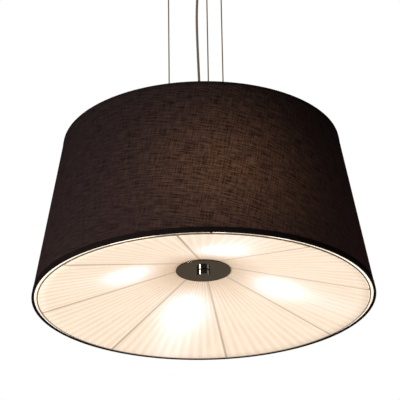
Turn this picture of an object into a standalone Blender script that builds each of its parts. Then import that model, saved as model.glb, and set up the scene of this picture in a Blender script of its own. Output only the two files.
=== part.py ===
"""Drum chandelier: a tapered cloth shade on three steel wires, closed below by a pleated panel.

Metres, +Z up. The origin is the middle of the bracket's top face, which lies against the ceiling.
"""

import math

import bmesh
import bpy
from mathutils import Matrix, Vector

# Whole lamp
DROP = 0.720  # ceiling to the shade's bottom edge
SEAT_GAP = 0.0003  # between pieces that touch
CUT_OVERRUN = 0.001
MERGE_DISTANCE = 0.000001

# Facets
LARGE_SEGMENTS = 60
PLATE_SEGMENTS = 28
CLUSTER_SEGMENTS = 24
BULB_SEGMENTS = 14
SMALL_SEGMENTS = 12
FINE_SEGMENTS = 8
BAR_SIDES = 6
NUT_SIDES = 6
RING_SIDES = 6
FILLET_STEPS = 2
SMOOTH_ANGLE = math.radians(40)

# Shade
SHADE_BOTTOM_RADIUS = 0.300
SHADE_TOP_RADIUS = 0.250
SHADE_HEIGHT = 0.300
CLOTH_THICKNESS = 0.0008
LINER_THICKNESS = 0.0006
TAPE_THICKNESS = 0.0006
TAPE_LAP = 0.009  # how far the lower tape climbs on the outside
TAPE_INNER_LAP = 0.003
TOP_TAPE_LAP = 0.004  # the upper tape is narrower
BOTTOM_WIRE_RADIUS = 0.0015
TOP_WIRE_RADIUS = 0.002

# Shade frame, hung below the shade's top edge
ARM_ANGLES = (90, 210, 330)
ARM_RADIUS = 0.0025
HUB_DEPTH = 0.034
HUB_RADIUS = 0.024
HUB_THICKNESS = 0.002

# Suspension
WIRE_ANGLES = (-90, 30, 150)
WIRE_CIRCLE_RADIUS = 0.060
WIRE_RADIUS = 0.00125
CORD_RADIUS = 0.0023
CORD_DIP = 0.0002  # how far the inner cord starts below its gland, clear of the swinging cord
CORD_BOW = 0.0045
CORD_BOW_ANGLE = 165.6
CORD_ROUTE_SHARES = (
    (0.0, 0.0), (0.04, 0.03), (0.12, 0.55), (0.22, 0.95), (0.32, 1.0), (0.45, 0.8),
    (0.6, 0.48), (0.75, 0.2), (0.88, 0.04), (0.96, 0.0), (1.0, 0.0),
)
CORD_STEPS = 3  # points between two stations of the route

# Canopy
CUP_RADIUS = 0.075
CUP_HEIGHT = 0.030
CUP_WALL = 0.001
CUP_FILLET = 0.006
BRACKET_WIDTH = 0.025
BRACKET_THICKNESS = 0.002
EAR_HEIGHT = 0.014
BEND_RADIUS = 0.0015
SLOT_LENGTH = 0.016
SLOT_WIDTH = 0.0055
SLOT_DISTANCE = 0.050
SIDE_SCREW_RADIUS = 0.002
SIDE_SCREW_HEAD_RADIUS = 0.004
SIDE_SCREW_HEAD_HEIGHT = 0.0025
SIDE_SCREW_CROWN_SHARE = 0.7
SIDE_SCREW_END = 0.001  # inside the ear
SIDE_SCREW_DEPTH = 0.008
THREAD_CLEARANCE = 0.0003
THREAD_DEPTH = 0.0006

# Wire grips
GRIP_FLANGE_RADIUS = 0.007
GRIP_FLANGE_HEIGHT = 0.003
GRIP_BARREL_RADIUS = 0.005
GRIP_BARREL_HEIGHT = 0.013
NECK_RADIUS = 0.005  # thread of the grips and the glands
GRIP_NECK_HEIGHT = 0.0105
NOZZLE_RADIUS = 0.003
NOZZLE_COLLAR_RADIUS = 0.0038
NOZZLE_COLLAR_HEIGHT = 0.0012
NOZZLE_REACH = 0.0057  # below the barrel
NOZZLE_SEAT = 0.0043  # inside the barrel
NOZZLE_TRAVEL = 0.002
NOZZLE_SPARE = 0.001  # above the pressed nozzle
NUT_RADIUS = 0.0092
NUT_HEIGHT = 0.004
TAIL_BEND = 0.005
TAIL_TURN = 55  # degrees that a wire tail runs round the cup
TAIL_STEPS = 4

# Cord gland and mains connection in the canopy
GLAND_FLANGE_RADIUS = 0.009
GLAND_FLANGE_HEIGHT = 0.004
GLAND_NECK_HEIGHT = 0.007
GLAND_NOSE_RADIUS = 0.0045
CORD_CLEARANCE = 0.0003
CORD_END_RISE = 0.0115  # of the sheath above the cup's floor
BLOCK_LENGTH = 0.025
BLOCK_WIDTH = 0.017
BLOCK_HEIGHT = 0.012
BLOCK_START = 0.016  # from the axis
BLOCK_PITCH = 0.008
LEAD_RADIUS = 0.0008
LEAD_CIRCLE_RADIUS = 0.00115
LEAD_SEAT = 0.004  # length inside the block
LEAD_SPREAD = 120  # degrees from lead to lead in the sheath
LEAD_STEPS = 2
LEAD_ROUTE_SHARES = ((0.3, 0.35, 0.8), (0.7, 0.95, 1.0))  # outwards, sideways and up
LEADS = (
    ("lead_live", -1, "brown lead"), ("lead_neutral", 0, "blue lead"), ("lead_earth", 1, "green lead"),
)

# Carrier plate and anchors, above the shade's hub
CARRIER_DEPTH = 0.016
CARRIER_RADIUS = 0.072
CARRIER_THICKNESS = 0.002
CARRIER_RIM = 0.005
ANCHOR_RADIUS = 0.005
ANCHOR_HEIGHT = 0.012
ANCHOR_TOP_WALL = 0.004
ANCHOR_NECK_RADIUS = 0.0036
ANCHOR_NECK_HEIGHT = 0.006
ANCHOR_NUT_RADIUS = 0.0065
FERRULE_RADIUS = 0.0022
FERRULE_HEIGHT = 0.006

# Column
COLUMN_RADIUS = 0.0065
COLUMN_WALL = 0.0018
COLUMN_NUT_RADIUS = 0.011
COLUMN_END = 0.002  # of the tube beyond its last nut
LAMP_GLAND_FLANGE_RADIUS = 0.0075
LAMP_GLAND_FLANGE_HEIGHT = 0.0018
LAMP_GLAND_NECK = 0.006

# Bulb cluster, above the panel
CLUSTER_LIFT = 0.017  # panel hub to cluster cover
CLUSTER_RADIUS = 0.040
CLUSTER_HEIGHT = 0.046
CLUSTER_WALL = 0.001
BULB_AXIS_LIFT = 0.0215
COVER_THICKNESS = 0.0015
COVER_OVERHANG = 0.001
COVER_LIP_HEIGHT = 0.008
COVER_LIP_WALL = 0.001
COVER_SCREW_ANGLES = (45, 165, 285)
COVER_SCREW_RADIUS = 0.0013
COVER_SCREW_HEAD_RADIUS = 0.0026
COVER_SCREW_HEAD_HEIGHT = 0.0015
COVER_SCREW_LIFT = 0.004
COVER_SCREW_END = 0.001  # inside the lip
SPLICE_LENGTH = 0.020
SPLICE_WIDTH = 0.014
SPLICE_HEIGHT = 0.010
SPLICE_DEPTH = 0.0085  # column end to the splice block

# Lampholders and bulbs
BULB_COUNT = 4
HOLDER_RADIUS = 0.0195
HOLDER_LENGTH = 0.048
HOLDER_BASE_RADIUS = 0.012
HOLDER_BASE_DEPTH = 0.021
HOLDER_SHOULDER = 0.014
HOLDER_RIM_WALL = 0.0035
HOLDER_NIPPLE_LENGTH = 0.006
HOLDER_CLEARANCE = 0.0007
LEAD_HOLE_RADIUS = 0.002
CAP_RADIUS = 0.0132
CAP_LENGTH = 0.0265
CAP_WALL = 0.001
CAP_TIP_RADIUS = 0.0048
CAP_TIP_WALL = 0.002
CAP_SKIRT = 0.0065
BULB_RADIUS = 0.030
BULB_LENGTH = 0.1055
GLASS_WALL = 0.001
GLASS_START = 0.010
GLASS_RADIUS_SHARES = (0.62, 0.97, 0.95, 0.62)
GLASS_HEIGHT_SHARES = (0.33, 0.62, 0.82, 0.955)

# Panel below the bulbs
PANEL_GAP = 0.0035  # between the bottom tape and the panel's ring
PANEL_WIRE_RADIUS = 0.0015
PANEL_RISE = 0.064  # of the cloth from the ring to the hub
PANEL_SAG = 0.0004  # of the cloth's edge below the middle of the ring
PANEL_INNER_RADIUS = 0.040
PANEL_HUB_RADIUS = 0.046
PANEL_HUB_THICKNESS = 0.002
SPOKE_COUNT = 8
SPOKE_RADIUS = 0.00125
SPOKE_START = 0.042
PLEATS = 96
PLEAT_FOLD_SHARE = 0.55  # of a pleat, from ridge to valley
PLEAT_DEPTH = 0.0009
PLEAT_INNER_DEPTH = 0.0003
PANEL_THICKNESS = 0.0005

# Finial
ROD_RADIUS = 0.005
ROD_TOP = 0.003  # above its last nut
DISC_RADIUS = 0.0486
DISC_THICKNESS = 0.002
DISC_CHAMFER = 0.0008
DISC_SEGMENTS = 32
KNOB_RADIUS = 0.01175
KNOB_HEIGHT = 0.0105
KNOB_NECK_RADIUS = 0.0095
KNOB_NECK_HEIGHT = 0.0015
KNOB_SHOULDER = 0.001
KNOB_CHAMFER = 0.0015
KNOB_FLOOR = 0.002
KNOB_SEGMENTS = 16

FINISHES = {
    "zinc steel": ((0.55, 0.56, 0.57), 0.35, 1.0),
    "black enamel": ((0.03, 0.028, 0.027), 0.35, 0.0),
    "bright nickel": ((0.62, 0.60, 0.57), 0.2, 1.0),
    "wire steel": ((0.22, 0.18, 0.16), 0.4, 1.0),
    "brown cord": ((0.13, 0.10, 0.085), 0.6, 0.0),
    "brown cloth": ((0.055, 0.030, 0.021), 0.85, 0.0),
    "dark tape": ((0.025, 0.015, 0.012), 0.8, 0.0),
    "white liner": ((0.85, 0.84, 0.82), 0.5, 0.0),
    "cream chiffon": ((0.95, 0.80, 0.62), 0.7, 0.0),
    "white enamel": ((0.80, 0.78, 0.74), 0.4, 0.0),
    "black chrome": ((0.07, 0.053, 0.042), 0.12, 1.0),
    "opal glass": ((0.95, 0.93, 0.88), 0.3, 0.0),
    "cap metal": ((0.70, 0.68, 0.64), 0.3, 1.0),
    "white plastic": ((0.80, 0.80, 0.78), 0.4, 0.0),
    "black plastic": ((0.02, 0.02, 0.02), 0.45, 0.0),
    "brown lead": ((0.20, 0.08, 0.03), 0.5, 0.0),
    "blue lead": ((0.03, 0.12, 0.45), 0.5, 0.0),
    "green lead": ((0.10, 0.40, 0.08), 0.5, 0.0),
}


# Heights, from the ceiling down to the suspension
CUP_FLOOR = -CUP_HEIGHT
GRIP_TOP_SEAT = CUP_FLOOR - SEAT_GAP
BARREL_END = GRIP_TOP_SEAT - GRIP_FLANGE_HEIGHT - GRIP_BARREL_HEIGHT
WIRE_EXIT = BARREL_END - NOZZLE_REACH
WIRE_TOP = WIRE_EXIT - SEAT_GAP
CUP_INNER_FLOOR = CUP_FLOOR + CUP_WALL
NUT_SEAT = CUP_INNER_FLOOR + SEAT_GAP
EAR_X = (
    math.sqrt(
        ((CUP_RADIUS - CUP_WALL) * math.cos(math.pi / PLATE_SEGMENTS)) ** 2
        - (BRACKET_WIDTH / 2) ** 2
    )
    - SEAT_GAP
)

# Heights, from the shade's bottom edge up to the suspension
RIM = -DROP
SHADE_TOP = RIM + SHADE_HEIGHT
CONE_SHARE = (SHADE_BOTTOM_RADIUS - SHADE_TOP_RADIUS) / SHADE_HEIGHT
CONE_STRETCH_SHARE = math.hypot(1, CONE_SHARE)
HUB_FLOOR = SHADE_TOP - HUB_DEPTH
CARRIER_FLOOR = SHADE_TOP - CARRIER_DEPTH
CARRIER_TOP = CARRIER_FLOOR + CARRIER_THICKNESS
ANCHOR_FLOOR = CARRIER_TOP + SEAT_GAP
ANCHOR_TOP = ANCHOR_FLOOR + ANCHOR_HEIGHT
WIRE_BOTTOM = ANCHOR_TOP + SEAT_GAP


def cone_radius(height):
    """The shade's outer radius at a height above its bottom edge."""
    return SHADE_BOTTOM_RADIUS - CONE_SHARE * height


# Rings at the shade's edges
BOTTOM_RING_Z = TAPE_THICKNESS + SEAT_GAP + BOTTOM_WIRE_RADIUS
BOTTOM_RING_RADIUS = (
    cone_radius(BOTTOM_RING_Z)
    - (TAPE_THICKNESS + SEAT_GAP + BOTTOM_WIRE_RADIUS) * CONE_STRETCH_SHARE
)
TAPE_INNER_RADIUS = BOTTOM_RING_RADIUS - BOTTOM_WIRE_RADIUS - SEAT_GAP - TAPE_THICKNESS
SKIN_BOTTOM = BOTTOM_RING_Z + BOTTOM_WIRE_RADIUS + SEAT_GAP
TOP_RING_Z = SHADE_HEIGHT - TAPE_THICKNESS - SEAT_GAP - TOP_WIRE_RADIUS
TOP_RING_RADIUS = (
    cone_radius(TOP_RING_Z)
    - (TAPE_THICKNESS + SEAT_GAP + TOP_WIRE_RADIUS) * CONE_STRETCH_SHARE
)
SKIN_TOP = TOP_RING_Z - TOP_WIRE_RADIUS - SEAT_GAP
CLOTH_INSET = TAPE_THICKNESS + SEAT_GAP
LINER_INSET = CLOTH_INSET + CLOTH_THICKNESS + SEAT_GAP

# Panel, whose ring hangs level with the shade's bottom edge
PANEL_RING_RADIUS = TAPE_INNER_RADIUS - PANEL_GAP - PANEL_WIRE_RADIUS
PANEL_RING_Z = RIM - PANEL_WIRE_RADIUS
PANEL_OUTER_RADIUS = (
    (PANEL_RING_RADIUS - PANEL_WIRE_RADIUS) * math.cos(math.pi / LARGE_SEGMENTS) - SEAT_GAP
)
PANEL_EDGE_Z = PANEL_RING_Z - PANEL_SAG
PANEL_SLOPE_SHARE = PANEL_RISE / (PANEL_OUTER_RADIUS - PANEL_INNER_RADIUS)
HALF_CLOTH = PANEL_THICKNESS / 2


def panel_z(radius):
    """Height of the middle of the panel's cloth at a distance from the axis."""
    return PANEL_EDGE_Z + (PANEL_OUTER_RADIUS - radius) * PANEL_SLOPE_SHARE


def pleat_depth(radius):
    """Half the height of a pleat at a distance from the axis."""
    share = (radius - PANEL_INNER_RADIUS) / (PANEL_OUTER_RADIUS - PANEL_INNER_RADIUS)
    return PLEAT_INNER_DEPTH + (PLEAT_DEPTH - PLEAT_INNER_DEPTH) * share


PANEL_HUB_FLOOR = panel_z(PANEL_INNER_RADIUS) + PLEAT_INNER_DEPTH + HALF_CLOTH + SEAT_GAP
PANEL_HUB_TOP = PANEL_HUB_FLOOR + PANEL_HUB_THICKNESS
SPOKE_RISE = PLEAT_DEPTH + HALF_CLOTH + SEAT_GAP + SPOKE_RADIUS
COVER_FLOOR = PANEL_HUB_TOP + CLUSTER_LIFT
COVER_TOP = COVER_FLOOR + COVER_THICKNESS
CLUSTER_FLOOR = COVER_TOP + SEAT_GAP
CLUSTER_TOP = CLUSTER_FLOOR + CLUSTER_HEIGHT
BULB_AXIS = CLUSTER_FLOOR + BULB_AXIS_LIFT
DISC_TOP = panel_z(DISC_RADIUS) - pleat_depth(DISC_RADIUS) - HALF_CLOTH - SEAT_GAP
DISC_FLOOR = DISC_TOP - DISC_THICKNESS
KNOB_TOP = DISC_FLOOR - SEAT_GAP
ROD_FLOOR = KNOB_TOP - KNOB_HEIGHT + KNOB_FLOOR + SEAT_GAP
COLUMN_BORE = COLUMN_RADIUS - COLUMN_WALL
COLUMN_FLOOR = CLUSTER_TOP - CLUSTER_WALL - SEAT_GAP - NUT_HEIGHT - COLUMN_END
COLUMN_TOP = CARRIER_TOP + SEAT_GAP + NUT_HEIGHT + COLUMN_END


def clear_start():
    """Remove what is already in the file."""
    for item in list(bpy.data.objects):
        bpy.data.objects.remove(item, do_unlink=True)


def finish_material(finish):
    """The material of one finish, made the first time it is asked for."""
    material = bpy.data.materials.get(finish)
    if material:
        return material
    colour, roughness, metallic = FINISHES[finish]
    material = bpy.data.materials.new(finish)
    material.use_nodes = True
    material.diffuse_color = (*colour, 1)
    shader = material.node_tree.nodes["Principled BSDF"]
    shader.inputs["Base Color"].default_value = (*colour, 1)
    shader.inputs["Roughness"].default_value = roughness
    shader.inputs["Metallic"].default_value = metallic
    return material


def add_object(name, data, finish):
    """Put a piece in the scene with its finish."""
    piece = bpy.data.objects.new(name, data)
    bpy.context.scene.collection.objects.link(piece)
    if finish:
        data.materials.append(finish_material(finish))
    return piece


def mesh_piece(name, bm, finish):
    """Turn a bmesh into a piece with smooth round faces and sharp edges."""
    bmesh.ops.recalc_face_normals(bm, faces=bm.faces)
    mesh = bpy.data.meshes.new(name)
    bm.to_mesh(mesh)
    bm.free()
    mesh.shade_smooth()
    mesh.set_sharp_from_angle(angle=SMOOTH_ANGLE)
    return add_object(name, mesh, finish)


def cutter(name, bm):
    """A hidden tool body for a Boolean."""
    piece = mesh_piece(name, bm, None)
    piece.hide_render = True
    piece.display_type = "WIRE"
    return piece


def combine(piece, tool, operation):
    """Cut a tool body from a piece, or weld it on."""
    modifier = piece.modifiers.new(tool.name, "BOOLEAN")
    modifier.operation = operation
    modifier.solver = "EXACT"
    modifier.object = tool


def attach(piece, parent):
    """Hang a piece on its parent and leave it where it stands."""
    bpy.context.view_layer.update()
    place = piece.matrix_world.copy()
    piece.parent = parent
    piece.matrix_world = place


def empty_at(name, location, rotation=(0, 0, 0)):
    """A named axis to hang pieces on."""
    axis = bpy.data.objects.new(name, None)
    bpy.context.scene.collection.objects.link(axis)
    axis.location = location
    axis.rotation_euler = rotation
    return axis


def polar(radius, degrees, height):
    """A point at a distance, an angle and a height."""
    angle = math.radians(degrees)
    return Vector((radius * math.cos(angle), radius * math.sin(angle), height))


def arc_points(centre, radius, start, end, steps=FILLET_STEPS):
    """Points on an arc of an outline, angles in degrees."""
    points = []
    for step in range(steps + 1):
        angle = math.radians(start + (end - start) * step / steps)
        points.append((centre[0] + radius * math.cos(angle), centre[1] + radius * math.sin(angle)))
    return points


def turn(bm, outline, segments, place=Matrix()):
    """Turn a closed outline of (radius, height) points round the Z axis, then place it."""
    known = set(bm.verts)
    verts = [bm.verts.new((radius, 0, height)) for radius, height in outline]
    edges = []
    for first, second in zip(verts, verts[1:] + verts[:1]):
        if first.co.x > 0 or second.co.x > 0:
            edges.append(bm.edges.new((first, second)))
    bmesh.ops.spin(
        bm, geom=verts + edges, cent=(0, 0, 0), axis=(0, 0, 1), dvec=(0, 0, 0),
        angle=math.tau, steps=segments, use_merge=True, use_duplicate=False,
    )
    fresh = [vert for vert in bm.verts if vert not in known]
    bmesh.ops.remove_doubles(bm, verts=fresh, dist=MERGE_DISTANCE)
    fresh = [vert for vert in bm.verts if vert not in known]
    bmesh.ops.transform(bm, matrix=place, verts=fresh)


def lathe(name, outline, segments, finish):
    """A turned piece on its own Z axis."""
    bm = bmesh.new()
    turn(bm, outline, segments)
    return mesh_piece(name, bm, finish)


def torus_outline(radius, height, wire_radius, sides=RING_SIDES):
    """The outline of a ring of round wire."""
    points = []
    for side in range(sides):
        angle = math.tau * side / sides
        points.append((radius + wire_radius * math.cos(angle), height + wire_radius * math.sin(angle)))
    return points


def along(start, direction):
    """A placement whose Z axis runs from a point in a direction."""
    turned = Vector(direction).to_track_quat("Z", "Y").to_matrix().to_4x4()
    return Matrix.Translation(start) @ turned


def add_rod(bm, start, end, radius, segments=SMALL_SEGMENTS):
    """A round bar with flat ends between two points."""
    span = Vector(end) - Vector(start)
    middle = Vector(start) + span / 2
    bmesh.ops.create_cone(
        bm, cap_ends=True, segments=segments, radius1=radius, radius2=radius,
        depth=span.length, matrix=along(middle, span),
    )


def add_block(bm, low, high):
    """A rectangular block between two corners."""
    size = Vector(high) - Vector(low)
    middle = Vector(low) + size / 2
    bmesh.ops.create_cube(bm, size=1, matrix=Matrix.Translation(middle) @ Matrix.Diagonal((*size, 1)))


def fit_nuts(piece, centres, radius, bar_radius):
    """Equal hexagon nuts, one with the threaded bar that they are screwed on."""
    thread = bar_radius - THREAD_DEPTH
    outline = ((thread, NUT_HEIGHT), (radius, NUT_HEIGHT), (radius, 0), (thread, 0))
    bm = bmesh.new()
    for centre in centres:
        turn(bm, outline, NUT_SIDES, Matrix.Translation(centre))
    combine(piece, cutter(f"{piece.name}_nuts", bm), "UNION")


def tube(name, route, radius, finish):
    """Round wire or cord along a route, with closed ends."""
    curve = bpy.data.curves.new(name, "CURVE")
    curve.dimensions = "3D"
    curve.bevel_depth = radius
    curve.bevel_resolution = 2
    curve.use_fill_caps = True
    spline = curve.splines.new("POLY")
    spline.points.add(len(route) - 1)
    for point, place in zip(spline.points, route):
        point.co = (*place, 1)
    return add_object(name, curve, finish)


def smooth_route(stations, steps):
    """Points read from a smooth curve through the stations of a route."""
    ends = [stations[0]] + list(stations) + [stations[-1]]
    points = []
    for before, start, end, after in zip(ends, ends[1:], ends[2:], ends[3:]):
        for step in range(steps):
            share = step / steps
            pull = (end - before).normalized() * (end - start).length
            push = (after - start).normalized() * (end - start).length
            points.append(
                start * (2 * share**3 - 3 * share**2 + 1)
                + pull * (share**3 - 2 * share**2 + share)
                + end * (3 * share**2 - 2 * share**3)
                + push * (share**3 - share**2)
            )
    points.append(stations[-1])
    return points


def ceiling_bracket():
    """A flat bar with two ears turned down for the cup's side screws, and two slots."""
    inner_x = EAR_X - BRACKET_THICKNESS
    outline = (
        (-EAR_X, -EAR_HEIGHT), (-EAR_X, 0), (EAR_X, 0), (EAR_X, -EAR_HEIGHT),
        (inner_x, -EAR_HEIGHT), (inner_x, -BRACKET_THICKNESS),
        (-inner_x, -BRACKET_THICKNESS), (-inner_x, -EAR_HEIGHT),
    )
    bm = bmesh.new()
    verts = [bm.verts.new((x, -BRACKET_WIDTH / 2, z)) for x, z in outline]
    face = bm.faces.new(verts)
    raised = bmesh.ops.extrude_face_region(bm, geom=[face])["geom"]
    top = [item for item in raised if isinstance(item, bmesh.types.BMVert)]
    bmesh.ops.translate(bm, verts=top, vec=(0, BRACKET_WIDTH, 0))
    bends = []
    for edge in bm.edges:
        first, second = edge.verts
        outer = abs(abs(first.co.x) - EAR_X) < MERGE_DISTANCE and abs(first.co.z) < MERGE_DISTANCE
        if outer and abs(first.co.y - second.co.y) > BRACKET_WIDTH / 2:
            bends.append(edge)
    bmesh.ops.bevel(
        bm, geom=bends, offset=BEND_RADIUS, segments=FILLET_STEPS, profile=0.5,
        affect="EDGES", material=-1,
    )
    bracket = mesh_piece("ceiling_bracket", bm, "zinc steel")
    holes = bmesh.new()
    for side in (-1, 1):
        for end in (-1, 1):
            slot_x = side * SLOT_DISTANCE + end * (SLOT_LENGTH - SLOT_WIDTH) / 2
            add_rod(
                holes, (slot_x, 0, -BRACKET_THICKNESS - CUT_OVERRUN), (slot_x, 0, CUT_OVERRUN),
                SLOT_WIDTH / 2,
            )
    slots = cutter("bracket_slot_ends", holes)
    combine(bracket, slots, "DIFFERENCE")
    straight = bmesh.new()
    for side in (-1, 1):
        middle = side * SLOT_DISTANCE
        half = (SLOT_LENGTH - SLOT_WIDTH) / 2
        add_block(
            straight, (middle - half, -SLOT_WIDTH / 2, -BRACKET_THICKNESS - CUT_OVERRUN),
            (middle + half, SLOT_WIDTH / 2, CUT_OVERRUN),
        )
    combine(bracket, cutter("bracket_slots", straight), "DIFFERENCE")
    threads = bmesh.new()
    for side in (-1, 1):
        add_rod(
            threads, (side * (inner_x - CUT_OVERRUN), 0, -SIDE_SCREW_DEPTH),
            (side * (EAR_X + CUT_OVERRUN), 0, -SIDE_SCREW_DEPTH),
            SIDE_SCREW_RADIUS + THREAD_CLEARANCE,
        )
    combine(bracket, cutter("bracket_threads", threads), "DIFFERENCE")


def canopy_cup():
    """A spun cup, open towards the ceiling, with holes for the grips, the cord and two screws."""
    corner = (CUP_RADIUS - CUP_FILLET, CUP_FLOOR + CUP_FILLET)
    hole = (NECK_RADIUS + THREAD_CLEARANCE) / math.cos(math.pi / PLATE_SEGMENTS)
    outline = [(CUP_RADIUS, 0)]
    outline += arc_points(corner, CUP_FILLET, 0, -90)
    outline += [(hole, CUP_FLOOR), (hole, CUP_INNER_FLOOR)]
    outline += arc_points(corner, CUP_FILLET - CUP_WALL, -90, 0)
    outline += [(CUP_RADIUS - CUP_WALL, 0)]
    cup = lathe("canopy_cup", outline, PLATE_SEGMENTS, "black enamel")
    holes = bmesh.new()
    for degrees in WIRE_ANGLES:
        low = polar(WIRE_CIRCLE_RADIUS, degrees, CUP_FLOOR - CUT_OVERRUN)
        high = polar(WIRE_CIRCLE_RADIUS, degrees, CUP_INNER_FLOOR + CUT_OVERRUN)
        add_rod(holes, low, high, NECK_RADIUS + THREAD_CLEARANCE)
    for side in (-1, 1):
        add_rod(
            holes, (side * (CUP_RADIUS - CUP_WALL - CUT_OVERRUN), 0, -SIDE_SCREW_DEPTH),
            (side * (CUP_RADIUS + CUT_OVERRUN), 0, -SIDE_SCREW_DEPTH),
            SIDE_SCREW_RADIUS + THREAD_CLEARANCE,
        )
    combine(cup, cutter("cup_holes", holes), "DIFFERENCE")


def canopy_screws():
    """Two screws that hold the cup to the bracket's ears."""
    seat = CUP_RADIUS + SEAT_GAP
    shank = seat - (EAR_X - BRACKET_THICKNESS) + SIDE_SCREW_END
    outline = (
        (0, -shank), (SIDE_SCREW_RADIUS, -shank), (SIDE_SCREW_RADIUS, 0),
        (SIDE_SCREW_HEAD_RADIUS, 0), (SIDE_SCREW_HEAD_RADIUS, SIDE_SCREW_HEAD_HEIGHT / 2),
        (SIDE_SCREW_HEAD_RADIUS * SIDE_SCREW_CROWN_SHARE, SIDE_SCREW_HEAD_HEIGHT),
        (0, SIDE_SCREW_HEAD_HEIGHT),
    )
    for number, side in enumerate((-1, 1), 1):
        screw = lathe(f"canopy_screw_{number}", outline, SMALL_SEGMENTS, "bright nickel")
        screw.location = (side * seat, 0, -SIDE_SCREW_DEPTH)
        screw.rotation_euler = (0, side * math.pi / 2, 0)


def cable_grips():
    """Three grips, each with its nut and a sprung nose that frees its wire."""
    nozzle_bore = WIRE_RADIUS + CORD_CLEARANCE
    chamber = NOZZLE_RADIUS + THREAD_CLEARANCE
    chamber_top = GRIP_FLANGE_HEIGHT + GRIP_BARREL_HEIGHT - NOZZLE_SEAT - NOZZLE_TRAVEL - NOZZLE_SPARE
    barrel = GRIP_FLANGE_HEIGHT + GRIP_BARREL_HEIGHT
    grip_outline = (
        (nozzle_bore, GRIP_NECK_HEIGHT), (NECK_RADIUS, GRIP_NECK_HEIGHT), (NECK_RADIUS, 0),
        (GRIP_FLANGE_RADIUS, 0), (GRIP_FLANGE_RADIUS, -GRIP_FLANGE_HEIGHT),
        (GRIP_BARREL_RADIUS, -GRIP_FLANGE_HEIGHT), (GRIP_BARREL_RADIUS, -barrel),
        (chamber, -barrel), (chamber, -chamber_top), (nozzle_bore, -chamber_top),
    )
    nozzle_outline = (
        (nozzle_bore, NOZZLE_SEAT), (NOZZLE_RADIUS, NOZZLE_SEAT),
        (NOZZLE_RADIUS, NOZZLE_COLLAR_HEIGHT - NOZZLE_REACH),
        (NOZZLE_COLLAR_RADIUS, NOZZLE_COLLAR_HEIGHT - NOZZLE_REACH),
        (NOZZLE_COLLAR_RADIUS, -NOZZLE_REACH), (nozzle_bore, -NOZZLE_REACH),
    )
    for number, degrees in enumerate(WIRE_ANGLES, 1):
        grip = lathe(f"cable_grip_{number}", grip_outline, SMALL_SEGMENTS, "bright nickel")
        grip.location = polar(WIRE_CIRCLE_RADIUS, degrees, GRIP_TOP_SEAT)
        fit_nuts(grip, [polar(WIRE_CIRCLE_RADIUS, degrees, NUT_SEAT)], NUT_RADIUS, NECK_RADIUS)
        nozzle = lathe(f"grip_nozzle_{number}", nozzle_outline, SMALL_SEGMENTS, "bright nickel")
        nozzle.location = polar(WIRE_CIRCLE_RADIUS, degrees, BARREL_END)


def wire_tails():
    """The spare end of each wire: up through its grip, then round inside the cup."""
    neck_top = GRIP_TOP_SEAT + GRIP_NECK_HEIGHT
    for number, degrees in enumerate(WIRE_ANGLES, 1):
        foot = polar(WIRE_CIRCLE_RADIUS, degrees, WIRE_EXIT + SEAT_GAP)
        route = [foot, polar(WIRE_CIRCLE_RADIUS, degrees, neck_top)]
        bend_turn = math.degrees(TAIL_BEND / WIRE_CIRCLE_RADIUS)
        for step in range(1, TAIL_STEPS):
            angle = math.pi / 2 * step / TAIL_STEPS
            turned = degrees + bend_turn * (1 - math.cos(angle))
            route.append(polar(WIRE_CIRCLE_RADIUS, turned, neck_top + TAIL_BEND * math.sin(angle)))
        for step in range(TAIL_STEPS + 1):
            turned = degrees + bend_turn + TAIL_TURN * step / TAIL_STEPS
            route.append(polar(WIRE_CIRCLE_RADIUS, turned, neck_top + TAIL_BEND))
        tube(f"wire_tail_{number}", route, WIRE_RADIUS, "wire steel")


def canopy_gland():
    """The cord's tapered gland through the middle of the cup, with its nut."""
    bore = CORD_RADIUS + CORD_CLEARANCE
    outline = (
        (bore, GRIP_TOP_SEAT + GLAND_NECK_HEIGHT), (NECK_RADIUS, GRIP_TOP_SEAT + GLAND_NECK_HEIGHT),
        (NECK_RADIUS, GRIP_TOP_SEAT), (GLAND_FLANGE_RADIUS, GRIP_TOP_SEAT),
        (GLAND_FLANGE_RADIUS, GRIP_TOP_SEAT - GLAND_FLANGE_HEIGHT),
        (GLAND_NOSE_RADIUS, WIRE_EXIT), (bore, WIRE_EXIT),
    )
    gland = lathe("canopy_gland", outline, BULB_SEGMENTS, "black plastic")
    fit_nuts(gland, [Vector((0, 0, NUT_SEAT))], NUT_RADIUS, NECK_RADIUS)


def cord_end():
    """The end of the sheath inside the gland, from which the leads fan out."""
    top = CUP_INNER_FLOOR + CORD_END_RISE
    outline = ((0, WIRE_EXIT + SEAT_GAP), (CORD_RADIUS, WIRE_EXIT + SEAT_GAP), (CORD_RADIUS, top), (0, top))
    lathe("cord_end", outline, SMALL_SEGMENTS, "brown cord")


def block_side(pole):
    """The sideways place of one pole of the terminal block."""
    return pole * BLOCK_PITCH


def terminal_block():
    """A three-pole block under the bracket, with a hole for each lead."""
    top = -BRACKET_THICKNESS - SEAT_GAP
    bm = bmesh.new()
    add_block(
        bm, (BLOCK_START, -BLOCK_LENGTH / 2, top - BLOCK_HEIGHT),
        (BLOCK_START + BLOCK_WIDTH, BLOCK_LENGTH / 2, top),
    )
    block = mesh_piece("terminal_block", bm, "white plastic")
    holes = bmesh.new()
    for pole in (-1, 0, 1):
        middle = top - BLOCK_HEIGHT / 2
        add_rod(
            holes, (BLOCK_START - CUT_OVERRUN, block_side(pole), middle),
            (BLOCK_START + LEAD_SEAT + SEAT_GAP, block_side(pole), middle),
            LEAD_RADIUS + THREAD_CLEARANCE, segments=FINE_SEGMENTS,
        )
    combine(block, cutter("block_holes", holes), "DIFFERENCE")


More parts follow.
